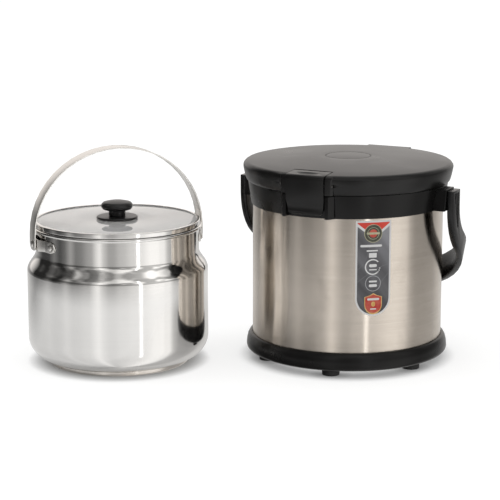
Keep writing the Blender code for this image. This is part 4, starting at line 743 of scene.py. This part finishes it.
for node, material, body, slot, edge in COPIED:
    refine(node, material, body, edge)
print("copied pieces made:", len(COPIED))

# %% [markdown]
# ## Label
# The label is a sticker bent round the wall: a white border, a dark panel, and flat shapes in a few
# printed colours. A printed colour drifts a little and has a faint grain. The panel's colour carries a
# painted reflection, which makes it lighter toward its upper right, as if its film caught the room, and
# painted slanted sheens run over it.

# %% Label finishes
LABEL_RADIUS = 0.109
LABEL_ASIDE = math.radians(12.36)
LABEL_TURN = CAMERA_AZIMUTH + LABEL_ASIDE - QUARTER
LABEL_HALF = 0.0201
LABEL_TOP = 0.1773
LABEL_FOOT = 0.0705
LABEL_BORDER = 0.0019
PRINT_CONTRAST = (0.35, 0.65)
PRINT_SPREAD = 0.06
PRINT_GRAIN = 2e-6
PANEL_DARK = (0.042, 0.041, 0.045, 1)
PANEL_LIGHT = (0.36, 0.36, 0.385, 1)
PANEL_SLANT = 1.3
PANEL_RISE = (0.052, 0.125)
PANEL_RISE_SHARE = 0.8
SHEEN_PACE = (34.0, 9.0)
SHEEN_RANGE = (0.4, 0.72)
SHEEN_SHARE = 0.38
PANEL_ROUGHNESS = (0.3, 0.38)


def printed(name, colour, second, roughness, drift=40.0):
    """Printed film: a colour that drifts between two shades."""
    material, wiring, shader = new_material(name, IOR=1.5)
    grain = add_group(wiring, GRAIN, Repeats_per_metre=2500.0, Drift_per_metre=drift)
    shade = wiring.remap(grain["Drift"], *PRINT_CONTRAST)
    wiring.feed(shader.inputs["Base Color"], wiring.blend(shade, (*colour, 1), (*second, 1)))
    rough = wiring.remap(grain["Drift"], *NOISE_RANGE, roughness, roughness + PRINT_SPREAD)
    wiring.feed(shader.inputs["Roughness"], rough)
    add_bump(wiring, shader, grain["Height"], PRINT_GRAIN)
    return material


def panel_material():
    """The dark panel: painted lighter toward its upper right, with painted soft slanted sheens."""
    material, wiring, shader = new_material("label_panel", IOR=1.5)
    place = wiring.node("ShaderNodeTexCoord").outputs["Object"]
    parts = wiring.node("ShaderNodeSeparateXYZ", Vector=place).outputs
    along = Vector((math.cos(LABEL_TURN + QUARTER), math.sin(LABEL_TURN + QUARTER), 0))
    across = wiring.vector("DOT_PRODUCT", wiring.vector("SUBTRACT", place, CONTAINER_AXIS), along)
    rise = wiring.math("SUBTRACT", parts["Z"], LABEL_FOOT)
    slant = wiring.math("ADD", wiring.math("MULTIPLY", across, PANEL_SLANT), rise)
    fast = wiring.math("MULTIPLY", slant, SHEEN_PACE[0])
    slow = wiring.math("MULTIPLY", across, SHEEN_PACE[1])
    where = wiring.node("ShaderNodeCombineXYZ", X=fast, Y=slow).outputs[0]
    noise = wiring.node("ShaderNodeTexNoise", Vector=where, Detail=2.0, Roughness=0.45, Scale=1.0)
    noise = noise.outputs[0]
    # Painted reflection and painted sheens: the base colour is lighter toward the upper right and in
    # slanted streaks.
    bright = wiring.math("MULTIPLY", wiring.remap(slant, *PANEL_RISE), PANEL_RISE_SHARE)
    painted_sheen = wiring.math("MULTIPLY", wiring.remap(noise, *SHEEN_RANGE), SHEEN_SHARE)
    mixed = wiring.math("ADD", bright, painted_sheen)
    wiring.feed(shader.inputs["Base Color"], wiring.blend(mixed, PANEL_DARK, PANEL_LIGHT))
    wiring.feed(shader.inputs["Roughness"], wiring.remap(noise, *NOISE_RANGE, *PANEL_ROUGHNESS))
    return material


LABEL_WHITE = printed("label_white", (0.86, 0.855, 0.85), (0.80, 0.795, 0.79), 0.34)
LABEL_RED = printed("label_red", (0.74, 0.05, 0.03), (0.80, 0.075, 0.045), 0.32)
LABEL_SHIELD = printed("label_shield_red", (0.52, 0.025, 0.02), (0.66, 0.16, 0.10), 0.32, 90.0)
LABEL_GOLD = printed("label_gold", (0.72, 0.40, 0.10), (0.86, 0.60, 0.25), 0.3, 160.0)
LABEL_OLIVE = printed("label_olive", (0.05, 0.052, 0.035), (0.085, 0.088, 0.06), 0.34, 200.0)
LABEL_STRAW = printed("label_straw", (0.46, 0.44, 0.28), (0.58, 0.55, 0.36), 0.34, 200.0)
LABEL_SILVER = printed("label_silver", (0.42, 0.42, 0.44), (0.50, 0.50, 0.52), 0.32)
LABEL_FAINT = printed("label_faint_line", (0.17, 0.17, 0.185), (0.24, 0.24, 0.26), 0.34)
LABEL_PANEL = panel_material()
print("label finishes ready")

# %% [markdown]
# Each shape on the label is a thin plate of its own, so its edges stay crisp: a flat outline is cut
# into narrow strips, thickened, and bent round the wall.

# %% Wrapping a plate
PAPER = 0.00012
INK = 0.00003
WRAP_STEP = 0.0016


def wrapped(name, faces, material, level, thickness=INK):
    """Flat shapes given as lists of (along, height) corners, made into plates and bent round the wall."""
    bm = bmesh.new()
    for corners in faces:
        bm.faces.new([bm.verts.new((u, 0, v)) for u, v in corners])
    bmesh.ops.remove_doubles(bm, verts=bm.verts, dist=WELD)
    low = min(vertex.co.x for vertex in bm.verts)
    high = max(vertex.co.x for vertex in bm.verts)
    steps = int((high - low) / WRAP_STEP)
    for i in range(1, steps + 1):
        everything = bm.verts[:] + bm.edges[:] + bm.faces[:]
        spot = (low + (high - low) * i / (steps + 1), 0, 0)
        bmesh.ops.bisect_plane(bm, geom=everything, plane_co=spot, plane_no=(1, 0, 0), dist=WELD / 4)
    made = bmesh.ops.extrude_face_region(bm, geom=bm.faces[:])
    for item in made["geom"]:
        if isinstance(item, bmesh.types.BMVert):
            item.co.y += thickness
    for vertex in bm.verts:
        radius = LABEL_RADIUS + level + vertex.co.y
        angle = LABEL_TURN + vertex.co.x / LABEL_RADIUS
        vertex.co = CONTAINER @ Vector((radius * math.cos(angle), radius * math.sin(angle), vertex.co.z))
    place_piece(name, finish_mesh(bm, name), material, "container", [])


# %% [markdown]
# The shapes are written as outlines on the flat label: along is counted from its middle line to the
# right, and height from the floor. A ring or a curved line is a row of four-cornered faces instead,
# because one face can't have a hole in it or bend back on itself.

# %% Flat shapes
SHIELD_SHOULDER_DROP = 0.0042
SHIELD_BROW = 0.0016
SHIELD_WAIST = 0.42
SHIELD_TIP_INSET = 1.6


def tongue(inset, count=28):
    """The label's outline: square at the top and half round at the bottom."""
    half = LABEL_HALF - inset
    foot = LABEL_FOOT + inset
    angles = [math.pi * i / count for i in range(count + 1)]
    arc = [(half * math.cos(a), foot + half - half * math.sin(a)) for a in angles]
    return [(half, LABEL_TOP - inset)] + arc + [(-half, LABEL_TOP - inset)]


def disc(middle, radius, count=40):
    """A round shape."""
    angles = [math.tau * i / count for i in range(count)]
    return [(middle[0] + radius * math.cos(a), middle[1] + radius * math.sin(a)) for a in angles]


def ring(middle, inner, outer, start=0.0, end=360.0, count=48):
    """A ring or part of one, as quads."""
    faces = []
    angles = [math.radians(start + (end - start) * i / count) for i in range(count + 1)]
    for a, b in zip(angles, angles[1:]):
        spots = ((inner, a), (outer, a), (outer, b), (inner, b))
        faces.append([(middle[0] + r * math.cos(t), middle[1] + r * math.sin(t)) for r, t in spots])
    return faces


def slab(middle, half_width, half_height, round_share=0.9, count=5):
    """A bar with rounded corners."""
    reach = half_height * round_share
    corners = []
    for turn, (side, rise) in enumerate(((1, 1), (-1, 1), (-1, -1), (1, -1))):
        for i in range(count + 1):
            angle = QUARTER * (turn + i / count)
            spot_x = side * (half_width - reach) + reach * math.cos(angle)
            spot_z = rise * (half_height - reach) + reach * math.sin(angle)
            corners.append((middle[0] + spot_x, middle[1] + spot_z))
    return corners


def shield(middle, half_width, top, foot, inset=0.0):
    """A shield: a raised point at the top, straight sides and a pointed foot."""
    wide = half_width - inset
    tip = foot + inset * SHIELD_TIP_INSET
    shoulder = top - SHIELD_SHOULDER_DROP - inset * 0.5
    waist = foot + (top - foot) * SHIELD_WAIST
    brow = (wide * 0.45, shoulder + SHIELD_BROW)
    right = [(0, top - inset * 1.5), brow, (wide, shoulder), (wide, waist)]
    for share in (0.25, 0.5, 0.75):
        angle = QUARTER * share
        right.append((wide * math.cos(angle) ** 0.9, waist - (waist - tip) * math.sin(angle) ** 1.15))
    corners = right + [(0, tip)] + [(-x, z) for x, z in right[:0:-1]]
    return [(middle + x, z) for x, z in corners][::-1]


def curve_line(start, middle, end, width, count=16):
    """A thin curved line as quads, from three points."""
    bend = (Vector(start), Vector(middle), Vector(end))
    spots = [on_bend(*bend, i / count) for i in range(count + 1)]
    faces = []
    for a, b in zip(spots, spots[1:]):
        side = (b - a).normalized() * (width / 2)
        side = Vector((-side.y, side.x))
        faces.append([tuple(a - side), tuple(b - side), tuple(b + side), tuple(a + side)])
    return faces


# %% [markdown]
# The plates lie in levels, each a film's thickness above the one under it: paper, panel, the red wedge
# with its white seam and three faint curved lines, and the bars, rings, badge and shield on top.

# %% Label plates
WEDGE_FOOT = 0.1568
WEDGE_LIP = 0.001
SEAM = 0.0034
LINE = 0.0004
BADGE = (-0.0006, 0.1633)
BADGE_RADIUS = 0.0102
OPEN_RING = (-0.0008, 0.1257)
DOT_TURNS = (-0.2, -0.48, -0.76)
DOT_REACH = 0.0082
DOT_RADIUS = 0.0007
THIN_RING = (-0.0003, 0.1072)
SHIELD = (0.0002, 0.0100, 0.0962, 0.0722)
SHIELD_RIM = 0.0009
PANEL_HALF = LABEL_HALF - LABEL_BORDER
CURVES = [
    ((-PANEL_HALF, 0.1225), (-0.007, 0.131), (-0.0045, 0.150)),
    ((-PANEL_HALF, 0.1085), (0.002, 0.1255), (PANEL_HALF, 0.1285)),
    ((0.006, 0.1035), (0.012, 0.1135), (PANEL_HALF, 0.1185)),
]
BARS = [
    ((-0.0028, 0.1494), 0.0122, 0.0013, 0.9),
    ((-0.0016, 0.1439), 0.0064, 0.0008, 0.9),
    ((-0.0009, 0.1388), 0.0044, 0.0026, 0.25),
    ((-0.0006, 0.1272), 0.0044, 0.0017, 0.9),
    ((-0.0006, 0.1226), 0.0044, 0.0006, 0.9),
    ((-0.0004, 0.1094), 0.0046, 0.0010, 0.9),
    ((-0.0004, 0.1047), 0.0046, 0.0016, 0.9),
]


def make_wedge(level):
    """The red wedge along the top and the white seam under it."""
    half = PANEL_HALF
    top = LABEL_TOP - LABEL_BORDER
    lip = top - WEDGE_LIP
    wedge = [(-half, top), (-half, lip), (0, WEDGE_FOOT + SEAM), (half, lip), (half, top)]
    seam = [(-half, lip), (-half, lip - SEAM), (0, WEDGE_FOOT), (0, WEDGE_FOOT + SEAM)]
    seam_right = [(-u, v) for u, v in seam[::-1]]
    wrapped("label_wedge", [wedge], LABEL_RED, level)
    wrapped("label_wedge_line", [seam, seam_right], LABEL_WHITE, level)


def make_label():
    """All of the label's plates, from the paper up."""
    wrapped("label_paper", [tongue(0)], LABEL_WHITE, 0, PAPER)
    wrapped("label_dark_panel", [tongue(LABEL_BORDER)], LABEL_PANEL, PAPER)
    level = PAPER + INK
    make_wedge(level)
    lines = [face for spots in CURVES for face in curve_line(*spots, LINE)]
    wrapped("label_curved_lines", lines, LABEL_FAINT, level)
    level += INK
    above = level + INK
    badge_rings = ring(BADGE, 0.0096, BADGE_RADIUS) + ring(BADGE, 0.0063, 0.0067)
    wrapped("label_badge", [disc(BADGE, BADGE_RADIUS)], LABEL_OLIVE, level)
    wrapped("label_badge_rings", badge_rings, LABEL_STRAW, above)
    wrapped("label_badge_middle", [disc(BADGE, 0.0046)], LABEL_SHIELD, above)
    wrapped("label_badge_bar", [slab(BADGE, 0.0074, 0.0012)], LABEL_STRAW, above + INK)
    shapes = [slab(*bar) for bar in BARS]
    for turn in DOT_TURNS:
        spot = (OPEN_RING[0] + DOT_REACH * math.cos(turn), OPEN_RING[1] + DOT_REACH * math.sin(turn))
        shapes.append(disc(spot, DOT_RADIUS, 12))
    wrapped("label_print", shapes, LABEL_WHITE, level)
    wrapped("label_open_ring", ring(OPEN_RING, 0.0075, 0.0089, 42, 310), LABEL_WHITE, level)
    wrapped("label_thin_ring", ring(THIN_RING, 0.0082, 0.0089), LABEL_SILVER, level)
    wrapped("label_shield_rim", [shield(*SHIELD)], LABEL_GOLD, level)
    wrapped("label_shield", [shield(*SHIELD, SHIELD_RIM)], LABEL_SHIELD, above)
    across = SHIELD[0]
    shield_bars = [slab((across, 0.0893), 0.0068, 0.0012), slab((across, 0.0783), 0.0034, 0.0007)]
    wrapped("label_shield_print", shield_bars, LABEL_WHITE, above + INK)
    wrapped("label_shield_mark", [slab((across, 0.0838), 0.0022, 0.0028, 0.8)], LABEL_GOLD, above + INK)


make_label()
print("label made")

# %% [markdown]
# ## Studio
# The pair stands on a pale floor in a bright room. The camera sees the floor as nearly white, with soft
# shadows and a darker line where something touches it. That comes from a matt grey, which takes the
# shadows, and a glow that only the camera, glass and steel see. The darker line is painted shadow:
# ambient occlusion dims the glow close to anything that touches the floor. Steel sees the floor best
# near the pot.
# It fades with distance, behind the pot, and close to the container, whose wall shows mostly the room.

# %% Stage helpers
WHITE = (1, 1, 1, 1)


def stage_panel(name, corners, material):
    """A flat panel of the stage, from four corners."""
    mesh = bpy.data.meshes.new(name)
    mesh.from_pydata(corners, [], [(0, 1, 2, 3)])
    mesh.materials.append(material)
    panel = bpy.data.objects.new(name, mesh)
    bpy.context.scene.collection.objects.link(panel)
    return panel


def bare_material(name):
    """A material with only its output node, and that node's surface socket."""
    material = bpy.data.materials.new(name)
    material.use_nodes = True
    material.node_tree.nodes.clear()
    wiring = Wiring(material.node_tree)
    return material, wiring, wiring.node("ShaderNodeOutputMaterial").inputs["Surface"]


# %% Floor
FLOOR_HALF = 14.0
FLOOR_DARK = (0.43, 0.43, 0.426, 1)
FLOOR_LIGHT = (0.45, 0.45, 0.446, 1)
FLOOR_GLOW = (0.66, 0.72)
FLOOR_GLOW_REACH = (0.4, 1.3)
FLOOR_SHINE = (0.68, 0.06)
FLOOR_FADE = (0.46, 0.72)
CONTAINER_SHARE = (0.12, 1.0)
CONTAINER_FADE = (0.17, 0.32)
BACK_SHARE = (1.0, 0.5)
BACK_FADE = (0.0, 0.2)
CONTACT_REACH = 0.016


def add_floor():
    """A white floor with the pair's shadow and a painted contact shadow; steel sees it best near the pot.
    """
    material, wiring, surface = bare_material("white_floor")
    place = wiring.node("ShaderNodeTexCoord").outputs["Object"]
    grain = wiring.node("ShaderNodeTexNoise", Vector=place, Scale=60.0, Detail=3.0, Roughness=0.5)
    tone = wiring.blend(grain.outputs[0], FLOOR_DARK, FLOOR_LIGHT)
    matt = wiring.node("ShaderNodeBsdfDiffuse", Color=tone)

    rays = wiring.node("ShaderNodeLightPath").outputs
    through = wiring.math("MAXIMUM", rays["Is Transmission Ray"], rays["Is Glossy Ray"])
    seen = wiring.math("MAXIMUM", rays["Is Camera Ray"], through)
    level = wiring.remap(wiring.vector("LENGTH", place), *FLOOR_GLOW_REACH, *FLOOR_GLOW)
    # Painted contact shadow: ambient occlusion dims the glow where something touches the floor.
    open_sky = wiring.node("ShaderNodeAmbientOcclusion", Distance=CONTACT_REACH).outputs["AO"]
    strength = wiring.math("MULTIPLY", seen, wiring.math("MULTIPLY", level, open_sky))
    glow = wiring.node("ShaderNodeEmission", Color=WHITE, Strength=strength)
    lit = wiring.node("ShaderNodeAddShader")
    wiring.feed(lit.inputs[0], matt.outputs[0])
    wiring.feed(lit.inputs[1], glow.outputs[0])

    from_pot = wiring.vector("SUBTRACT", place, POT_AXIS)
    from_container = wiring.vector("SUBTRACT", place, CONTAINER_AXIS)
    near = wiring.remap(wiring.vector("LENGTH", from_pot), *FLOOR_FADE, *FLOOR_SHINE)
    beside = wiring.remap(wiring.vector("LENGTH", from_container), *CONTAINER_FADE, *CONTAINER_SHARE)
    beyond = wiring.remap(wiring.vector("DOT_PRODUCT", from_pot, AWAY), *BACK_FADE, *BACK_SHARE)
    shine = wiring.math("MULTIPLY", wiring.math("MULTIPLY", near, beside), beyond)
    unseen = wiring.math("MULTIPLY", wiring.math("SUBTRACT", 1.0, shine), rays["Is Glossy Ray"])
    mix = wiring.node("ShaderNodeMixShader")
    wiring.feed(mix.inputs[0], unseen)
    wiring.feed(mix.inputs[1], lit.outputs[0])
    wiring.feed(mix.inputs[2], wiring.node("ShaderNodeBsdfTransparent").outputs[0])
    wiring.feed(surface, mix.outputs[0])

    corners = [(x * FLOOR_HALF, y * FLOOR_HALF, 0) for x, y in ((-1, -1), (1, -1), (1, 1), (-1, 1))]
    floor = stage_panel("floor", corners, material)
    print("floor is", 2 * FLOOR_HALF, "m wide")


add_floor()

# %% [markdown]
# Polished metal shows the room and little else, so the room is the main part of the steel's look. Its
# shade changes with direction. Angles are counted from the camera's side to the right, seen from
# above. Matt pieces get one even fill instead, and to the camera the room is white.

# %% Room shades
ROOM_SHADES = [
    (-158, 0.47), (-139, 0.2), (-127, 0.03), (-116, 0.0), (-107, 0.01), (-95, 0.15), (-84, 0.0),
    (-74, 0.1), (-65, 0.36), (-56, 0.15), (-47, 0.2), (-39, 0.34), (-32, 0.42), (-26, 0.8),
    (-21, 1.06), (-16, 0.68), (-8, 0.39), (-1, 0.4), (6, 0.56), (14, 0.62), (21, 0.76),
    (32, 0.86), (50, 1.2), (65, 1.1), (72, 1.08), (78, 0.6), (86, 0.38), (104, 0.36),
    (123, 0.42), (137, 0.62), (155, 0.66),
]


def fill_ramp(ramp):
    """Sets the room's shades on a colour ramp that runs once round, anticlockwise from +X."""
    stops = []
    toward_camera = CAMERA_AZIMUTH - QUARTER
    for degrees, shade in ROOM_SHADES:
        stops.append((((toward_camera + math.radians(degrees)) / math.tau) % 1.0, shade))
    stops.sort()
    ramp.elements[0].position = stops[0][0]
    ramp.elements[1].position = stops[-1][0]
    for position, shade in stops[1:-1]:
        ramp.elements.new(position)
    for element, (position, shade) in zip(ramp.elements, stops):
        element.color = (shade, shade, shade, 1)


print("shades round the room:", len(ROOM_SHADES))

# %% [markdown]
# Height matters too. Just above the floor the walls are at their full shade, and higher up they are at
# half of it, with soft lit patches where the wall is bright. The ceiling is one pale field. Behind the
# pair hangs a bright, slightly warm backdrop, which the lid and the glass show at a low angle.

# %% Room light
ROOM_FILL = 0.72
WALL_RISE = (0.0, 0.12)
WALL_LEVEL = (1.0, 0.5)
LEAST_SHADE = 0.02
PATCH_SCALE = 3.4
PATCH_RANGE = (0.4, 0.6)
PATCH_LEVEL = (0.019, 0.8075)
PATCH_RISE = (0.24, 0.36)
PATCH_WALL = (0.1, 0.6)
PATCH_SHARE = (0.12, 1.0)
CEILING_RISE = (0.88, 0.96)
CEILING = 0.7
BACKDROP = 0.98
BACKDROP_EDGE = (0.62, 0.86)
BACKDROP_RISE = (-0.02, 0.06)
ROOM_TINT = (1, 0.985, 0.965, 1)
BACKDROP_TINT = (1, 0.95, 0.91, 1)


def toward(wiring, value, target, share):
    """A value moved toward a target number by a share."""
    gap = wiring.math("SUBTRACT", target, value)
    return wiring.math("ADD", value, wiring.math("MULTIPLY", share, gap))


def add_room():
    """The room as a soft sky: white to the camera, plain to matt pieces, banded to steel."""
    world = bpy.data.worlds.new("studio_room")
    bpy.context.scene.world = world
    world.use_nodes = True
    wiring = Wiring(world.node_tree)
    surface = world.node_tree.nodes["Background"]
    direction = wiring.node("ShaderNodeTexCoord").outputs["Generated"]
    parts = wiring.node("ShaderNodeSeparateXYZ", Vector=direction).outputs
    turn = wiring.math("ARCTAN2", parts["Y"], parts["X"])
    lap = wiring.math("FRACT", wiring.math("ADD", wiring.math("DIVIDE", turn, math.tau), 1.0))
    ramp = wiring.node("ShaderNodeValToRGB")
    wiring.feed(ramp.inputs[0], lap)
    fill_ramp(ramp.color_ramp)
    bands = ramp.outputs[0]

    wall = wiring.math("MULTIPLY", bands, wiring.remap(parts["Z"], *WALL_RISE, *WALL_LEVEL))
    noise = wiring.node(
        "ShaderNodeTexNoise", Vector=direction, Scale=PATCH_SCALE, Detail=1.0, Roughness=0.4
    )
    patch = wiring.remap(noise.outputs[0], *PATCH_RANGE, *PATCH_LEVEL)
    patch = wiring.math("MULTIPLY", patch, wiring.remap(bands, *PATCH_WALL, *PATCH_SHARE))
    patch = wiring.math("MULTIPLY", wiring.remap(parts["Z"], *PATCH_RISE), patch)
    shade = wiring.math("MAXIMUM", LEAST_SHADE, wiring.math("ADD", wall, patch))
    shade = toward(wiring, shade, CEILING, wiring.remap(parts["Z"], *CEILING_RISE))
    behind = wiring.remap(wiring.vector("DOT_PRODUCT", direction, AWAY), *BACKDROP_EDGE)
    behind = wiring.math("MULTIPLY", behind, wiring.remap(parts["Z"], *BACKDROP_RISE))
    shade = toward(wiring, shade, BACKDROP, behind)

    rays = wiring.node("ShaderNodeLightPath").outputs
    glossy = rays["Is Glossy Ray"]
    shown = wiring.math("MULTIPLY", shade, glossy)
    plain = wiring.math("MULTIPLY", wiring.math("SUBTRACT", 1.0, glossy), ROOM_FILL)
    seen = wiring.math("MAXIMUM", rays["Is Camera Ray"], rays["Is Transmission Ray"])
    strength = wiring.math("MAXIMUM", seen, wiring.math("ADD", shown, plain))
    tint = wiring.blend(behind, ROOM_TINT, BACKDROP_TINT)
    wiring.feed(surface.inputs["Color"], wiring.blend(glossy, WHITE, tint))
    wiring.feed(surface.inputs["Strength"], strength)


add_room()
print("room light ready")

# %% [markdown]
# One tall narrow light stands about a metre away, in front and to the right. It draws the thin bright
# line down both pieces of steel; because it is near, each of them shows it at its own place. Only
# shiny pieces see it: it lights nothing else and throws no shadow.

# %% Tall window
WINDOW_RIGHT = 0.505
WINDOW_TOWARD = 0.913
WINDOW_WIDTH = 0.08
WINDOW_HEIGHTS = (-0.6, 1.1)
WINDOW_LEVEL = 2.3


def add_window():
    """A glowing strip that only steel and other shiny pieces see."""
    material, wiring, surface = bare_material("window_glow")
    glow = wiring.node("ShaderNodeEmission", Color=WHITE, Strength=WINDOW_LEVEL)
    wiring.feed(surface, glow.outputs[0])
    middle = ground_spot(AIM_RIGHT + WINDOW_RIGHT, AIM_AWAY - WINDOW_TOWARD)
    look = (Vector((0, 0, 0)) - middle).normalized()
    side = Vector((-look.y, look.x, 0)) * (WINDOW_WIDTH / 2)
    low, high = WINDOW_HEIGHTS
    corners = []
    for shift, height in ((-1, low), (1, low), (1, high), (-1, high)):
        spot = middle + side * shift
        corners.append((spot.x, spot.y, height))
    window = stage_panel("tall_window", corners, material)
    window.visible_camera = False
    window.visible_diffuse = False
    window.visible_transmission = False
    window.visible_shadow = False
    print("window stands at", middle.xy)


add_window()

# %% [markdown]
# Three soft lamps, one above and one on each side, light the matt pieces and draw the soft shadows.
# Steel doesn't see them, because it shows the room.

# %% Lamps
SOFTBOXES = [
    ("top_softbox", (0.0, 0.1, 1.7), (0, 0, 0.1), (1.6, 1.6), 8),
    ("left_softbox", (-1.6, -0.9, 1.0), (0, 0, 0.12), (0.9, 1.2), 4),
    ("right_softbox", (1.9, -1.0, 1.0), (0, 0, 0.12), (0.9, 1.2), 4),
]


def add_softbox(name, location, target, size, power):
    """An area lamp aimed at a point, unseen by steel."""
    data = bpy.data.lights.new(name, "AREA")
    data.shape = "RECTANGLE"
    data.size, data.size_y = size
    data.energy = power
    lamp = bpy.data.objects.new(name, data)
    lamp.location = location
    lamp.rotation_euler = (Vector(target) - Vector(location)).to_track_quat("-Z", "Y").to_euler()
    lamp.visible_glossy = False
    bpy.context.scene.collection.objects.link(lamp)


for name, location, target, size, power in SOFTBOXES:
    add_softbox(name, location, target, size, power)
print("studio ready")

# %% [markdown]
# ## View settings
# The view settings stay plain.

# %% Finish
bpy.context.scene.view_settings.view_transform = "Standard"
